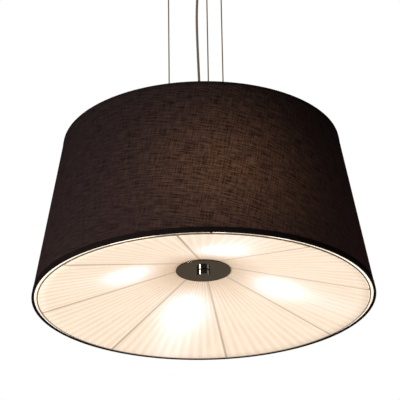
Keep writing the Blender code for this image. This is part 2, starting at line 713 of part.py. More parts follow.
def leads():
    """Live, neutral and earth leads from the sheath's end to the terminal block."""
    start_z = CUP_INNER_FLOOR + CORD_END_RISE + SEAT_GAP
    end_z = -BRACKET_THICKNESS - SEAT_GAP - BLOCK_HEIGHT / 2
    for name, pole, finish in LEADS:
        foot = polar(LEAD_CIRCLE_RADIUS, 180 - LEAD_SPREAD * pole, start_z)
        side = block_side(pole)
        stations = [foot, foot + Vector((0, 0, 2 * LEAD_RADIUS))]
        for outwards, sideways, up in LEAD_ROUTE_SHARES:
            y = foot.y + (side - foot.y) * sideways
            stations.append(Vector((BLOCK_START * outwards, y, start_z + (end_z - start_z) * up)))
        stations.append(Vector((BLOCK_START, side, end_z)))
        stations.append(Vector((BLOCK_START + LEAD_SEAT, side, end_z)))
        tube(name, smooth_route(stations, LEAD_STEPS), LEAD_RADIUS, finish)


def suspension(lamp):
    """Three straight wires and the cord, each hung at its top, where it leaves the canopy."""
    for number, degrees in enumerate(WIRE_ANGLES, 1):
        outline = (
            (0, WIRE_BOTTOM - WIRE_TOP), (WIRE_RADIUS, WIRE_BOTTOM - WIRE_TOP), (WIRE_RADIUS, 0), (0, 0),
        )
        wire = lathe(f"suspension_wire_{number}", outline, FINE_SEGMENTS, "wire steel")
        wire.location = polar(WIRE_CIRCLE_RADIUS, degrees, WIRE_TOP)
        if number == 1:
            attach(lamp, wire)
    length = WIRE_TOP - WIRE_BOTTOM
    stations = [polar(CORD_BOW * bow, CORD_BOW_ANGLE, -length * down) for down, bow in CORD_ROUTE_SHARES]
    cord = tube("power_cord", smooth_route(stations, CORD_STEPS), CORD_RADIUS, "brown cord")
    cord.location = (0, 0, WIRE_TOP)


def carrier_plate():
    """A spun plate that hangs on the anchors and carries the column."""
    bore = (COLUMN_RADIUS + THREAD_CLEARANCE) / math.cos(math.pi / PLATE_SEGMENTS)
    rim_floor = CARRIER_TOP - CARRIER_RIM - CARRIER_THICKNESS
    outline = (
        (bore, CARRIER_TOP), (CARRIER_RADIUS - BEND_RADIUS, CARRIER_TOP),
        (CARRIER_RADIUS, CARRIER_TOP - BEND_RADIUS), (CARRIER_RADIUS, rim_floor),
        (CARRIER_RADIUS - CARRIER_THICKNESS, rim_floor),
        (CARRIER_RADIUS - CARRIER_THICKNESS, CARRIER_FLOOR), (bore, CARRIER_FLOOR),
    )
    plate = lathe("carrier_plate", outline, PLATE_SEGMENTS, "zinc steel")
    holes = bmesh.new()
    for degrees in WIRE_ANGLES:
        add_rod(
            holes, polar(WIRE_CIRCLE_RADIUS, degrees, CARRIER_FLOOR - CUT_OVERRUN),
            polar(WIRE_CIRCLE_RADIUS, degrees, CARRIER_TOP + CUT_OVERRUN),
            ANCHOR_NECK_RADIUS + THREAD_CLEARANCE,
        )
    combine(plate, cutter("plate_holes", holes), "DIFFERENCE")
    return [plate]


def wire_anchors():
    """Anchors on the carrier plate, each with its nut below and a ferrule trapped in it."""
    bore = WIRE_RADIUS + CORD_CLEARANCE
    chamber = FERRULE_RADIUS + THREAD_CLEARANCE
    chamber_top = ANCHOR_HEIGHT - ANCHOR_TOP_WALL
    outline = (
        (bore, ANCHOR_HEIGHT), (ANCHOR_RADIUS, ANCHOR_HEIGHT), (ANCHOR_RADIUS, 0),
        (ANCHOR_NECK_RADIUS, 0), (ANCHOR_NECK_RADIUS, -ANCHOR_NECK_HEIGHT),
        (chamber, -ANCHOR_NECK_HEIGHT), (chamber, chamber_top), (bore, chamber_top),
    )
    ferrule_top = chamber_top - SEAT_GAP
    ferrule_outline = (
        (0, ANCHOR_HEIGHT), (WIRE_RADIUS, ANCHOR_HEIGHT), (WIRE_RADIUS, ferrule_top),
        (FERRULE_RADIUS, ferrule_top), (FERRULE_RADIUS, ferrule_top - FERRULE_HEIGHT),
        (0, ferrule_top - FERRULE_HEIGHT),
    )
    pieces = []
    for number, degrees in enumerate(WIRE_ANGLES, 1):
        seat = polar(WIRE_CIRCLE_RADIUS, degrees, ANCHOR_FLOOR)
        anchor = lathe(f"wire_anchor_{number}", outline, SMALL_SEGMENTS, "bright nickel")
        anchor.location = seat
        nut_seat = polar(WIRE_CIRCLE_RADIUS, degrees, CARRIER_FLOOR - SEAT_GAP - NUT_HEIGHT)
        fit_nuts(anchor, [nut_seat], ANCHOR_NUT_RADIUS, ANCHOR_NECK_RADIUS)
        ferrule = lathe(f"wire_ferrule_{number}", ferrule_outline, FINE_SEGMENTS, "cap metal")
        ferrule.location = seat
        pieces += [anchor, ferrule]
    return pieces


def column():
    """The threaded tube with the nuts that clamp plate, hub and cluster, and the cord in it."""
    tube_outline = (
        (COLUMN_BORE, COLUMN_TOP), (COLUMN_RADIUS, COLUMN_TOP),
        (COLUMN_RADIUS, COLUMN_FLOOR), (COLUMN_BORE, COLUMN_FLOOR),
    )
    threaded = lathe("column_tube", tube_outline, BULB_SEGMENTS, "zinc steel")
    hub_top = HUB_FLOOR + HUB_THICKNESS
    floors = (
        CARRIER_TOP + SEAT_GAP, CARRIER_FLOOR - SEAT_GAP - NUT_HEIGHT,
        hub_top + SEAT_GAP, HUB_FLOOR - SEAT_GAP - NUT_HEIGHT,
        CLUSTER_TOP + SEAT_GAP, CLUSTER_TOP - CLUSTER_WALL - SEAT_GAP - NUT_HEIGHT,
    )
    centres = [Vector((0, 0, floor)) for floor in floors]
    fit_nuts(threaded, centres, COLUMN_NUT_RADIUS, COLUMN_RADIUS)
    pieces = [threaded]
    cord_bore = CORD_RADIUS + CORD_CLEARANCE
    flange = COLUMN_TOP + SEAT_GAP
    neck = COLUMN_BORE * math.cos(math.pi / BULB_SEGMENTS) - SEAT_GAP
    gland_outline = (
        (cord_bore, ANCHOR_TOP), (GLAND_NOSE_RADIUS, ANCHOR_TOP),
        (LAMP_GLAND_FLANGE_RADIUS, flange + LAMP_GLAND_FLANGE_HEIGHT), (LAMP_GLAND_FLANGE_RADIUS, flange),
        (neck, flange), (neck, flange - LAMP_GLAND_NECK), (cord_bore, flange - LAMP_GLAND_NECK),
    )
    pieces.append(lathe("lamp_gland", gland_outline, BULB_SEGMENTS, "black plastic"))
    cord_floor = COLUMN_FLOOR - SPLICE_DEPTH
    cord_top = ANCHOR_TOP - CORD_DIP
    cord_outline = ((0, cord_top), (CORD_RADIUS, cord_top), (CORD_RADIUS, cord_floor), (0, cord_floor))
    pieces.append(lathe("column_cord", cord_outline, SMALL_SEGMENTS, "brown cord"))
    bm = bmesh.new()
    top = cord_floor - SEAT_GAP
    add_block(
        bm, (-SPLICE_LENGTH / 2, -SPLICE_WIDTH / 2, top - SPLICE_HEIGHT),
        (SPLICE_LENGTH / 2, SPLICE_WIDTH / 2, top),
    )
    pieces.append(mesh_piece("splice_block", bm, "white plastic"))
    return pieces


def bulb_angle(number):
    """The direction of one bulb, in degrees."""
    return 360 / BULB_COUNT * (number - 1)


def cluster():
    """The bulb cluster's spun body, and its cover, whose screws are one with its lip."""
    bore = (COLUMN_RADIUS + THREAD_CLEARANCE) / math.cos(math.pi / CLUSTER_SEGMENTS)
    inner = CLUSTER_RADIUS - CLUSTER_WALL
    body_outline = (
        (bore, CLUSTER_TOP), (CLUSTER_RADIUS - BEND_RADIUS, CLUSTER_TOP),
        (CLUSTER_RADIUS, CLUSTER_TOP - BEND_RADIUS), (CLUSTER_RADIUS, CLUSTER_FLOOR),
        (inner, CLUSTER_FLOOR), (inner, CLUSTER_TOP - CLUSTER_WALL), (bore, CLUSTER_TOP - CLUSTER_WALL),
    )
    body = lathe("cluster_body", body_outline, CLUSTER_SEGMENTS, "white enamel")
    holes = bmesh.new()
    for number in range(1, BULB_COUNT + 1):
        degrees = bulb_angle(number)
        add_rod(
            holes, polar(inner - CUT_OVERRUN, degrees, BULB_AXIS),
            polar(CLUSTER_RADIUS + CUT_OVERRUN, degrees, BULB_AXIS), NECK_RADIUS + THREAD_CLEARANCE,
        )
    screw_z = CLUSTER_FLOOR + COVER_SCREW_LIFT
    for degrees in COVER_SCREW_ANGLES:
        add_rod(
            holes, polar(inner - CUT_OVERRUN, degrees, screw_z),
            polar(CLUSTER_RADIUS + CUT_OVERRUN, degrees, screw_z),
            COVER_SCREW_RADIUS + THREAD_CLEARANCE, segments=FINE_SEGMENTS,
        )
    combine(body, cutter("cluster_holes", holes), "DIFFERENCE")

    lip = inner * math.cos(math.pi / CLUSTER_SEGMENTS) - SEAT_GAP
    rod_bore = (ROD_RADIUS + THREAD_CLEARANCE) / math.cos(math.pi / CLUSTER_SEGMENTS)
    cover_outline = (
        (rod_bore, COVER_FLOOR), (CLUSTER_RADIUS + COVER_OVERHANG, COVER_FLOOR),
        (CLUSTER_RADIUS + COVER_OVERHANG, COVER_TOP), (lip, COVER_TOP),
        (lip, COVER_TOP + COVER_LIP_HEIGHT), (lip - COVER_LIP_WALL, COVER_TOP + COVER_LIP_HEIGHT),
        (lip - COVER_LIP_WALL, COVER_TOP), (rod_bore, COVER_TOP),
    )
    cover = lathe("cluster_cover", cover_outline, CLUSTER_SEGMENTS, "white enamel")
    seat = CLUSTER_RADIUS + SEAT_GAP
    shank = seat - (lip - COVER_LIP_WALL) + COVER_SCREW_END
    screw_outline = (
        (0, -shank), (COVER_SCREW_RADIUS, -shank), (COVER_SCREW_RADIUS, 0),
        (COVER_SCREW_HEAD_RADIUS, 0), (COVER_SCREW_HEAD_RADIUS, COVER_SCREW_HEAD_HEIGHT),
        (0, COVER_SCREW_HEAD_HEIGHT),
    )
    screws = bmesh.new()
    for degrees in COVER_SCREW_ANGLES:
        place = along(polar(seat, degrees, screw_z), polar(1, degrees, 0))
        turn(screws, screw_outline, FINE_SEGMENTS, place)
    combine(cover, cutter("cover_screws", screws), "UNION")
    return [body, cover]


def lampholders():
    """Four screw lampholders standing out of the cluster's wall."""
    bore = (CAP_RADIUS + HOLDER_CLEARANCE) / math.cos(math.pi / BULB_SEGMENTS)
    outline = (
        (LEAD_HOLE_RADIUS, -HOLDER_NIPPLE_LENGTH), (NECK_RADIUS, -HOLDER_NIPPLE_LENGTH),
        (NECK_RADIUS, SEAT_GAP), (HOLDER_BASE_RADIUS, SEAT_GAP),
        (HOLDER_RADIUS, HOLDER_SHOULDER), (HOLDER_RADIUS, HOLDER_LENGTH),
        (bore + (HOLDER_RADIUS - bore) / 2, HOLDER_LENGTH),
        (bore, HOLDER_LENGTH - HOLDER_RIM_WALL), (bore, HOLDER_BASE_DEPTH),
        (LEAD_HOLE_RADIUS, HOLDER_BASE_DEPTH),
    )
    pieces = []
    for number in range(1, BULB_COUNT + 1):
        holder = lathe(f"lampholder_{number}", outline, BULB_SEGMENTS, "white plastic")
        turned = math.radians(bulb_angle(number))
        holder.location = polar(CLUSTER_RADIUS, bulb_angle(number), BULB_AXIS)
        holder.rotation_euler = (0, math.pi / 2, turned)
        pieces.append(holder)
    return pieces


def bulbs(lamp):
    """Four bulbs, each a cap and a glass on the axis along which it screws out."""
    cap_outline = (
        (0, 0), (CAP_TIP_RADIUS, 0), (CAP_RADIUS, CAP_SKIRT), (CAP_RADIUS, CAP_LENGTH),
        (CAP_RADIUS - CAP_WALL, CAP_LENGTH), (CAP_RADIUS - CAP_WALL, CAP_SKIRT + CAP_WALL),
        (CAP_TIP_RADIUS, CAP_TIP_WALL), (0, CAP_TIP_WALL),
    )
    neck = (CAP_RADIUS - CAP_WALL) * math.cos(math.pi / BULB_SEGMENTS) - SEAT_GAP
    outer = [(neck, GLASS_START), (neck, CAP_LENGTH)]
    outer += [
        (BULB_RADIUS * wide, BULB_LENGTH * high)
        for wide, high in zip(GLASS_RADIUS_SHARES, GLASS_HEIGHT_SHARES)
    ]
    outer.append((0, BULB_LENGTH))
    inner_tip = [(0, BULB_LENGTH - GLASS_WALL)]
    inner = [(radius - GLASS_WALL, height) for radius, height in reversed(outer[:-1])]
    glass_outline = outer + inner_tip + inner
    for number in range(1, BULB_COUNT + 1):
        degrees = bulb_angle(number)
        start = CLUSTER_RADIUS + HOLDER_BASE_DEPTH + SEAT_GAP
        axis = empty_at(
            f"bulb_axis_{number}", polar(start, degrees, BULB_AXIS),
            (0, math.pi / 2, math.radians(degrees)),
        )
        for name, outline, finish in (
            ("bulb_cap", cap_outline, "cap metal"), ("bulb_glass", glass_outline, "opal glass"),
        ):
            piece = lathe(f"{name}_{number}", outline, BULB_SEGMENTS, finish)
            piece.location = axis.location
            piece.rotation_euler = axis.rotation_euler
            attach(piece, axis)
        attach(axis, lamp)


def shade_frame():
    """The top ring welded to three arms and a hub, and the bottom ring."""
    ring = lathe(
        "top_ring_frame", torus_outline(TOP_RING_RADIUS, RIM + TOP_RING_Z, TOP_WIRE_RADIUS),
        LARGE_SEGMENTS, "white enamel",
    )
    bore = (COLUMN_RADIUS + THREAD_CLEARANCE) / math.cos(math.pi / PLATE_SEGMENTS)
    hub = bmesh.new()
    hub_top = HUB_FLOOR + HUB_THICKNESS
    turn(
        hub, ((bore, hub_top), (HUB_RADIUS, hub_top), (HUB_RADIUS, HUB_FLOOR), (bore, HUB_FLOOR)),
        PLATE_SEGMENTS,
    )
    combine(ring, cutter("shade_hub", hub), "UNION")
    arms = bmesh.new()
    for degrees in ARM_ANGLES:
        start = polar(HUB_RADIUS - ARM_RADIUS, degrees, HUB_FLOOR + HUB_THICKNESS / 2)
        end = polar(TOP_RING_RADIUS, degrees, RIM + TOP_RING_Z + TOP_WIRE_RADIUS - ARM_RADIUS)
        add_rod(arms, start, end, ARM_RADIUS, segments=BAR_SIDES)
    combine(ring, cutter("shade_arms", arms), "UNION")
    bottom = lathe(
        "bottom_ring", torus_outline(BOTTOM_RING_RADIUS, RIM + BOTTOM_RING_Z, BOTTOM_WIRE_RADIUS),
        LARGE_SEGMENTS, "white enamel",
    )
    return [ring, bottom]


def skin_outline(inset, thickness, low, high):
    """The outline of one layer of the shade between two heights above the rim."""
    return (
        (cone_radius(high) - inset, RIM + high), (cone_radius(low) - inset, RIM + low),
        (cone_radius(low) - inset - thickness, RIM + low),
        (cone_radius(high) - inset - thickness, RIM + high),
    )


def shade_skin():
    """The cloth and its liner, and the tapes that bind both edges."""
    cloth = skin_outline(CLOTH_INSET, CLOTH_THICKNESS, SKIN_BOTTOM, SKIN_TOP)
    liner = skin_outline(LINER_INSET, LINER_THICKNESS, SKIN_BOTTOM, SKIN_TOP)
    bottom_tape = (
        (cone_radius(TAPE_LAP), RIM + TAPE_LAP), (SHADE_BOTTOM_RADIUS, RIM + TAPE_THICKNESS),
        (SHADE_BOTTOM_RADIUS - TAPE_THICKNESS, RIM), (TAPE_INNER_RADIUS, RIM),
        (TAPE_INNER_RADIUS, RIM + TAPE_INNER_LAP),
        (TAPE_INNER_RADIUS + TAPE_THICKNESS, RIM + TAPE_INNER_LAP),
        (TAPE_INNER_RADIUS + TAPE_THICKNESS, RIM + TAPE_THICKNESS),
        (SHADE_BOTTOM_RADIUS - TAPE_THICKNESS, RIM + TAPE_THICKNESS),
        (cone_radius(TAPE_LAP) - TAPE_THICKNESS, RIM + TAPE_LAP),
    )
    top_lip = TOP_RING_RADIUS - TOP_WIRE_RADIUS - TAPE_THICKNESS
    lap_radius = cone_radius(SHADE_HEIGHT - TOP_TAPE_LAP)
    top_tape = (
        (lap_radius, SHADE_TOP - TOP_TAPE_LAP),
        (lap_radius - TAPE_THICKNESS, SHADE_TOP - TOP_TAPE_LAP),
        (SHADE_TOP_RADIUS - TAPE_THICKNESS, SHADE_TOP - TAPE_THICKNESS),
        (top_lip, SHADE_TOP - TAPE_THICKNESS), (top_lip, SHADE_TOP),
        (SHADE_TOP_RADIUS - TAPE_THICKNESS, SHADE_TOP), (SHADE_TOP_RADIUS, SHADE_TOP - TAPE_THICKNESS),
    )
    return [
        lathe("shade_fabric", cloth, LARGE_SEGMENTS, "brown cloth"),
        lathe("shade_liner", liner, LARGE_SEGMENTS, "white liner"),
        lathe("bottom_hem", bottom_tape, LARGE_SEGMENTS, "dark tape"),
        lathe("top_hem", top_tape, LARGE_SEGMENTS, "dark tape"),
    ]


def rod_and_nuts():
    """The rod that carries the panel, with nuts at the cover and the panel's stop nut."""
    top = COVER_TOP + SEAT_GAP + NUT_HEIGHT + ROD_TOP
    outline = ((0, top), (ROD_RADIUS, top), (ROD_RADIUS, ROD_FLOOR), (0, ROD_FLOOR))
    rod = lathe("threaded_rod", outline, SMALL_SEGMENTS, "zinc steel")
    floors = (COVER_TOP + SEAT_GAP, COVER_FLOOR - SEAT_GAP - NUT_HEIGHT, PANEL_HUB_TOP + SEAT_GAP)
    fit_nuts(rod, [Vector((0, 0, floor)) for floor in floors], NUT_RADIUS, ROD_RADIUS)
    return [rod]


def panel_frame():
    """The panel's ring, spokes and hub, welded into one frame."""
    ring = lathe(
        "diffuser_frame", torus_outline(PANEL_RING_RADIUS, PANEL_RING_Z, PANEL_WIRE_RADIUS),
        LARGE_SEGMENTS, "dark tape",
    )
    bore = (ROD_RADIUS + THREAD_CLEARANCE) / math.cos(math.pi / PLATE_SEGMENTS)
    hub = bmesh.new()
    turn(
        hub,
        (
            (bore, PANEL_HUB_TOP), (PANEL_HUB_RADIUS, PANEL_HUB_TOP),
            (PANEL_HUB_RADIUS, PANEL_HUB_FLOOR), (bore, PANEL_HUB_FLOOR),
        ),
        PLATE_SEGMENTS,
    )
    combine(ring, cutter("panel_hub", hub), "UNION")
    spokes = bmesh.new()
    for number in range(SPOKE_COUNT):
        degrees = 360 / SPOKE_COUNT * (number + 1 / 2)
        start = polar(SPOKE_START, degrees, panel_z(SPOKE_START) + SPOKE_RISE)
        end = polar(PANEL_RING_RADIUS, degrees, panel_z(PANEL_RING_RADIUS) + SPOKE_RISE)
        add_rod(spokes, start, end, SPOKE_RADIUS, segments=BAR_SIDES)
    combine(ring, cutter("panel_spokes", spokes), "UNION")
    return ring


def panel_cloth():
    """Pleated cloth: a ring of ridges and valleys between the hub and the ring, given its thickness."""
    bm = bmesh.new()
    loops = []
    for radius in (PANEL_OUTER_RADIUS, PANEL_INNER_RADIUS):
        verts = []
        for pleat in range(PLEATS):
            for share, side in ((0, 1), (PLEAT_FOLD_SHARE, -1)):
                degrees = 360 * (pleat + share) / PLEATS
                height = panel_z(radius) + side * pleat_depth(radius)
                verts.append(bm.verts.new(polar(radius, degrees, height)))
        loops += [bm.edges.new(pair) for pair in zip(verts, verts[1:] + verts[:1])]
    bmesh.ops.bridge_loops(bm, edges=loops)
    cloth = mesh_piece("diffuser_fabric", bm, "cream chiffon")
    wall = cloth.modifiers.new("Cloth thickness", "SOLIDIFY")
    wall.thickness = PANEL_THICKNESS
    wall.offset = 0
    return cloth


def finial():
    """The disc under the panel and the knob that screws on the rod and holds it."""
    bore = (ROD_RADIUS + THREAD_CLEARANCE) / math.cos(math.pi / DISC_SEGMENTS)
    disc_outline = (
        (bore, 0), (DISC_RADIUS - DISC_CHAMFER, 0), (DISC_RADIUS, -DISC_CHAMFER),
        (DISC_RADIUS, DISC_CHAMFER - DISC_THICKNESS),
        (DISC_RADIUS - DISC_CHAMFER, -DISC_THICKNESS), (bore, -DISC_THICKNESS),
    )
    disc = lathe("finial_disc", disc_outline, DISC_SEGMENTS, "black chrome")
    disc.location = (0, 0, DISC_TOP)
    bore = (ROD_RADIUS + THREAD_CLEARANCE) / math.cos(math.pi / KNOB_SEGMENTS)
    knob_outline = (
        (bore, 0), (KNOB_NECK_RADIUS, 0), (KNOB_NECK_RADIUS, -KNOB_NECK_HEIGHT),
        (KNOB_RADIUS, -KNOB_NECK_HEIGHT - KNOB_SHOULDER), (KNOB_RADIUS, KNOB_CHAMFER - KNOB_HEIGHT),
        (KNOB_RADIUS - KNOB_CHAMFER, -KNOB_HEIGHT), (0, -KNOB_HEIGHT),
        (0, KNOB_FLOOR - KNOB_HEIGHT), (bore, KNOB_FLOOR - KNOB_HEIGHT),
    )
    knob = lathe("finial_knob", knob_outline, KNOB_SEGMENTS, "black chrome")
    knob.location = (0, 0, KNOB_TOP)
    attach(knob, disc)
    return disc


def main():
    """Build the canopy, the suspension and the lamp that hangs on it."""
    clear_start()
    ceiling_bracket()
    canopy_cup()
    canopy_screws()
    cable_grips()
    wire_tails()
    canopy_gland()
    cord_end()
    terminal_block()
    leads()

    lamp = empty_at("lamp", polar(WIRE_CIRCLE_RADIUS, WIRE_ANGLES[0], WIRE_BOTTOM))
    suspension(lamp)
    pieces = carrier_plate() + wire_anchors() + column() + cluster() + lampholders()
    pieces += shade_frame() + shade_skin() + rod_and_nuts()
    for piece in pieces:
        attach(piece, lamp)
    bulbs(lamp)

    frame = panel_frame()
    attach(frame, lamp)
    attach(panel_cloth(), frame)
    attach(finial(), frame)


main()
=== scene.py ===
"""Builds the finished look of a drum chandelier around its packed parts."""
import math

import bmesh
import bpy
from bpy.props import FloatProperty, FloatVectorProperty, IntProperty, PointerProperty
from mathutils import Matrix, Vector


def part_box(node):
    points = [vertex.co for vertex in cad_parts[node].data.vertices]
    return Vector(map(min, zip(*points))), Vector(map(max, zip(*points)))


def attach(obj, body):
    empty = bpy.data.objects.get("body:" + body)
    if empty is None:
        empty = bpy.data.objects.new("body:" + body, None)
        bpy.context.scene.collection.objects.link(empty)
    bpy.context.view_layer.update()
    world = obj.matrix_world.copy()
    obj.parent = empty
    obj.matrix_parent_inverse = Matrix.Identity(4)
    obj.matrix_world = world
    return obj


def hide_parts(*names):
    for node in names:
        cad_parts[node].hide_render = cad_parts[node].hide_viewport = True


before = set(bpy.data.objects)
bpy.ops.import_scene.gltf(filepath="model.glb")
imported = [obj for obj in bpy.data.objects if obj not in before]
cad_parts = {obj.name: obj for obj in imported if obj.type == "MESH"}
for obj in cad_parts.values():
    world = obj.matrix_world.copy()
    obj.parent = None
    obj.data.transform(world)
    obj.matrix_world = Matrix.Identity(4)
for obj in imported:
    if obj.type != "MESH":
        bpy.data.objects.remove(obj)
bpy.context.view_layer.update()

bl_info = {
    "name": "Drum chandelier",
    "version": (1, 0, 0),
    "blender": (4, 5, 0),
    "location": "3D View > Sidebar > Chandelier",
    "description": "Dresses the parts of a drum chandelier with fine shapes and materials",
    "category": "Object",
}

MM = 0.001
SEAT_GAP = 0.0003  # between pieces that sit on each other

# Heights of the lamp's own parts, in metres below the ceiling
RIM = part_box("bottom_hem")[0].z
SHADE_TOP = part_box("top_hem")[1].z
SHADE_HEIGHT = SHADE_TOP - RIM

# Cone of the shade, with heights above the rim
BOTTOM_RADIUS = 0.300
TOP_RADIUS = 0.250
CONE_SHARE = (BOTTOM_RADIUS - TOP_RADIUS) / SHADE_HEIGHT
CONE_STRETCH_SHARE = math.hypot(1, CONE_SHARE)
CONE_SLANT_SHARE = CONE_SHARE / CONE_STRETCH_SHARE  # sine of half the cone's opening
CLOTH_INSET = 0.0005
CLOTH_THICKNESS = 0.0008
LINER_INSET = 0.0020
LINER_THICKNESS = 0.0006
SKIN_BOTTOM = 0.0042
SKIN_TOP = 0.2948
SKIN_ROWS = 20
SEAM_ANGLE = 8.0
SEAM_HALF_ANGLE = 1.4
SEAM_THICKNESS = 0.0004
SEAM_WEAVE_SHIFT = 40  # degrees, so that the lap's threads don't run on from the cloth's

# Edge tapes
TAPE_THICKNESS = 0.0003
TAPE_LAP = 0.009
TOP_TAPE_LAP = 0.0064
TAPE_INNER_LAP = 0.0018
TAPE_END_SIZE = (0.0046, 0.0085, 0.0008)
TAPE_END_ANGLE = 21.0
TAPE_END_RADIUS = 0.2942
TAPE_END_DROP = 0.0002
STITCH_PITCH = 0.0036

# Rings
RING_SEGMENTS = 192
BOTTOM_WIRE_RADIUS = 0.0015
BOTTOM_RING_RADIUS = 0.29717
BOTTOM_RING_HEIGHT = 0.0024
TOP_WIRE_RADIUS = 0.002
TOP_RING_RADIUS = 0.24754
TOP_RING_HEIGHT = 0.2971
ARM_ANGLES = (90, 210, 330)
ARM_RADIUS = 0.0025
TOP_HUB_LOW = SHADE_TOP - 0.034
ARM_LINE = ((0.020, 0.0), (0.050, 0.0), (0.205, 0.004), (0.232, 0.014))  # over the hub
PLATE_THICKNESS = 0.002  # of both hubs and of the carrier

# Panel
PANEL_WIRE_RADIUS = 0.0010
PANEL_SLEEVE_RADIUS = 0.0013
PANEL_RING_HEIGHT = RIM + 0.0003
PANEL_RING_RADIUS = 0.28977
PANEL_OUTER_RADIUS = 0.28758
PANEL_INNER_RADIUS = 0.040
PANEL_WIDTH = PANEL_OUTER_RADIUS - PANEL_INNER_RADIUS
PANEL_EDGE_HEIGHT = 0.0001
PANEL_SLOPE_SHARE = 0.062 / PANEL_WIDTH
PANEL_ROWS = 16
PLEAT_DEPTH = 0.0007
PLEAT_INNER_DEPTH = 0.0003
SPOKE_COUNT = 8
SPOKE_RADIUS = 0.00125
SPOKE_RISE = 0.0027
SPOKE_STATIONS = (0.0425, 0.10, 0.16, 0.22, 0.270, 0.281)
SPOKE_OVERLAP = 0.0005  # into the ring's wire

# Bulbs and their cluster
BULB_ANGLES = (0, 90, 180, 270)
BULB_AXIS_HEIGHT = RIM + 0.10525
BULB_RADIUS = 0.0613  # from the lamp's axis to a bulb's foot
CLUSTER_RADIUS = 0.040
CLUSTER_WALL = 0.001
COVER_WALL = 0.0015
COVER_SCREW_ANGLES = (45, 165, 285)

# Suspension
WIRE_ANGLES = (-90, 30, 150)
WIRE_CIRCLE_RADIUS = 0.060
WIRE_STEPS = 24
WIRE_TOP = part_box("suspension_wire_1")[1].z
WIRE_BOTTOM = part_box("suspension_wire_1")[0].z
CORD_BOW = 0.0045
CORD_BOW_ANGLE = 165.6
CORD_ROUTE_SHARES = (
    (0.0, 0.0), (0.04, 0.03), (0.12, 0.55), (0.22, 0.95), (0.32, 1.0), (0.45, 0.8),
    (0.6, 0.48), (0.75, 0.2), (0.88, 0.04), (0.96, 0.0), (1.0, 0.0),
)
CORD_STEPS = 3

# Canopy and fittings
CUP_RADIUS = 0.075
CUP_WALL = 0.001
CUP_FILLET = 0.006
SIDE_SCREW_DEPTH = 0.008
NECK_RADIUS = 0.005
NECK_HOLE_RADIUS = NECK_RADIUS + SEAT_GAP
NUT_HEIGHT = 0.004
FINE_FLUTES = 60
WIRE_BORE = 1.55  # of a fitting that a wire passes, in millimetres
TUBE_THREAD_PITCH = 0.001
TUBE_THREAD_DEPTH = 0.0004
SCREW_SLOT_BEVEL = 0.0001

# Finial
KNOB_SHORT = 0.0009  # the photographed knob ends this far above the packed one
KNOB_WALL_START = 0.0003  # from the knob's face to its wall, whose brighter reflection is painted
KNOB_WALL_BLEND = 0.0003

# Camera, from its fit to the photograph, about the middle of the shade's bottom edge
CAMERA_DISTANCE = 2.8154
CAMERA_DROP = 1.1251
CAMERA_YAW = -0.0014
CAMERA_PITCH = 0.43858
CAMERA_ROLL = -0.0163
CAMERA_TURN = -14.35
CAMERA_LENS = 156.15
CAMERA_SENSOR = 36.0

# Room
AIM_HEIGHT = RIM + 0.06
STRIP_DISTANCE = 2.72
STRIP_HEIGHT = -1.81
WEAK_STRIP_SHARE = 1 / 15
FLOOR_HEIGHT = -2.4
FLOOR_HALF_SIZE = 40.0
FLOOR_GLOW = 0.8

# Colours that several finishes share
WHITE_ENAMEL = (0.80, 0.78, 0.74)
WHITE = (1.0, 1.0, 1.0)
BLACK = (0.0, 0.0, 0.0)


# Geometry helpers

def polar(radius, angle, height=0.0):
    """The point at a radius, an angle in degrees and a height."""
    turn = math.radians(angle)
    return Vector((radius * math.cos(turn), radius * math.sin(turn), height))


def heights(name):
    """Lowest and highest point of a part."""
    low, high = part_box(name)
    return low.z, high.z


def cone_radius(height):
    """The shade's outer radius at a height above its bottom edge."""
    return BOTTOM_RADIUS - CONE_SHARE * height


def panel_height(radius):
    """Height of the panel's cloth at a distance from the axis."""
    return RIM + PANEL_EDGE_HEIGHT + (PANEL_OUTER_RADIUS - radius) * PANEL_SLOPE_SHARE


def eased(corners, radius, steps=3, closed=False):
    """An outline whose corners are rounded."""
    points = []
    count = len(corners)
    for index, corner in enumerate(corners):
        corner = Vector(corner)
        if not closed and index in (0, count - 1):
            points.append(tuple(corner))
            continue
        inward = Vector(corners[index - 1]) - corner
        outward = Vector(corners[(index + 1) % count]) - corner
        reach = min(radius, inward.length * 0.45, outward.length * 0.45)
        start = corner + inward.normalized() * reach
        end = corner + outward.normalized() * reach
        for step in range(steps + 1):
            done = step / steps
            point = start * (1 - done) ** 2 + corner * 2 * done * (1 - done) + end * done ** 2
            points.append(tuple(point))
    return points


def braced(outline, reach, closed=False):
    """An outline with points near the ends of long sides, which keep them shaded straight."""
    points = []
    ends = outline[1:] + (outline[:1] if closed else [])
    for start, end in zip(outline, ends):
        start, end = Vector(start), Vector(end)
        points.append(tuple(start))
        if (end - start).length > 4 * reach:
            step = (end - start).normalized() * reach
            points += [tuple(start + step), tuple(end - step)]
    return points if closed else points + [tuple(outline[-1])]


def turned(outline, segments, closed=True):
    """A shape turned round the axis from its outline of radius and height."""
    bm = bmesh.new()
    verts = [bm.verts.new((radius, 0.0, height)) for radius, height in outline]
    edges = [bm.edges.new(pair) for pair in zip(verts, verts[1:])]
    if closed:
        edges.append(bm.edges.new((verts[-1], verts[0])))
    bmesh.ops.spin(
        bm, geom=verts + edges, cent=(0, 0, 0), axis=(0, 0, 1), angle=math.tau, steps=segments,
        use_merge=True,
    )
    bmesh.ops.remove_doubles(bm, verts=bm.verts, dist=1e-6)
    bmesh.ops.recalc_face_normals(bm, faces=bm.faces)
    return bm


def rounded(outline, ease, segments, steps=3, closed=True):
    """A turned shape with rounded corners."""
    return turned(eased(outline, ease, steps, closed), segments, closed)


def in_metres(outline):
    """An outline's points in metres."""
    return [(radius * MM, height * MM) for radius, height in outline]


def lathed(outline, ease, segments, closed=True):
    """A turned shape with rounded corners, from an outline and a rounding in millimetres."""
    return rounded(in_metres(outline), ease * MM, segments, closed=closed)


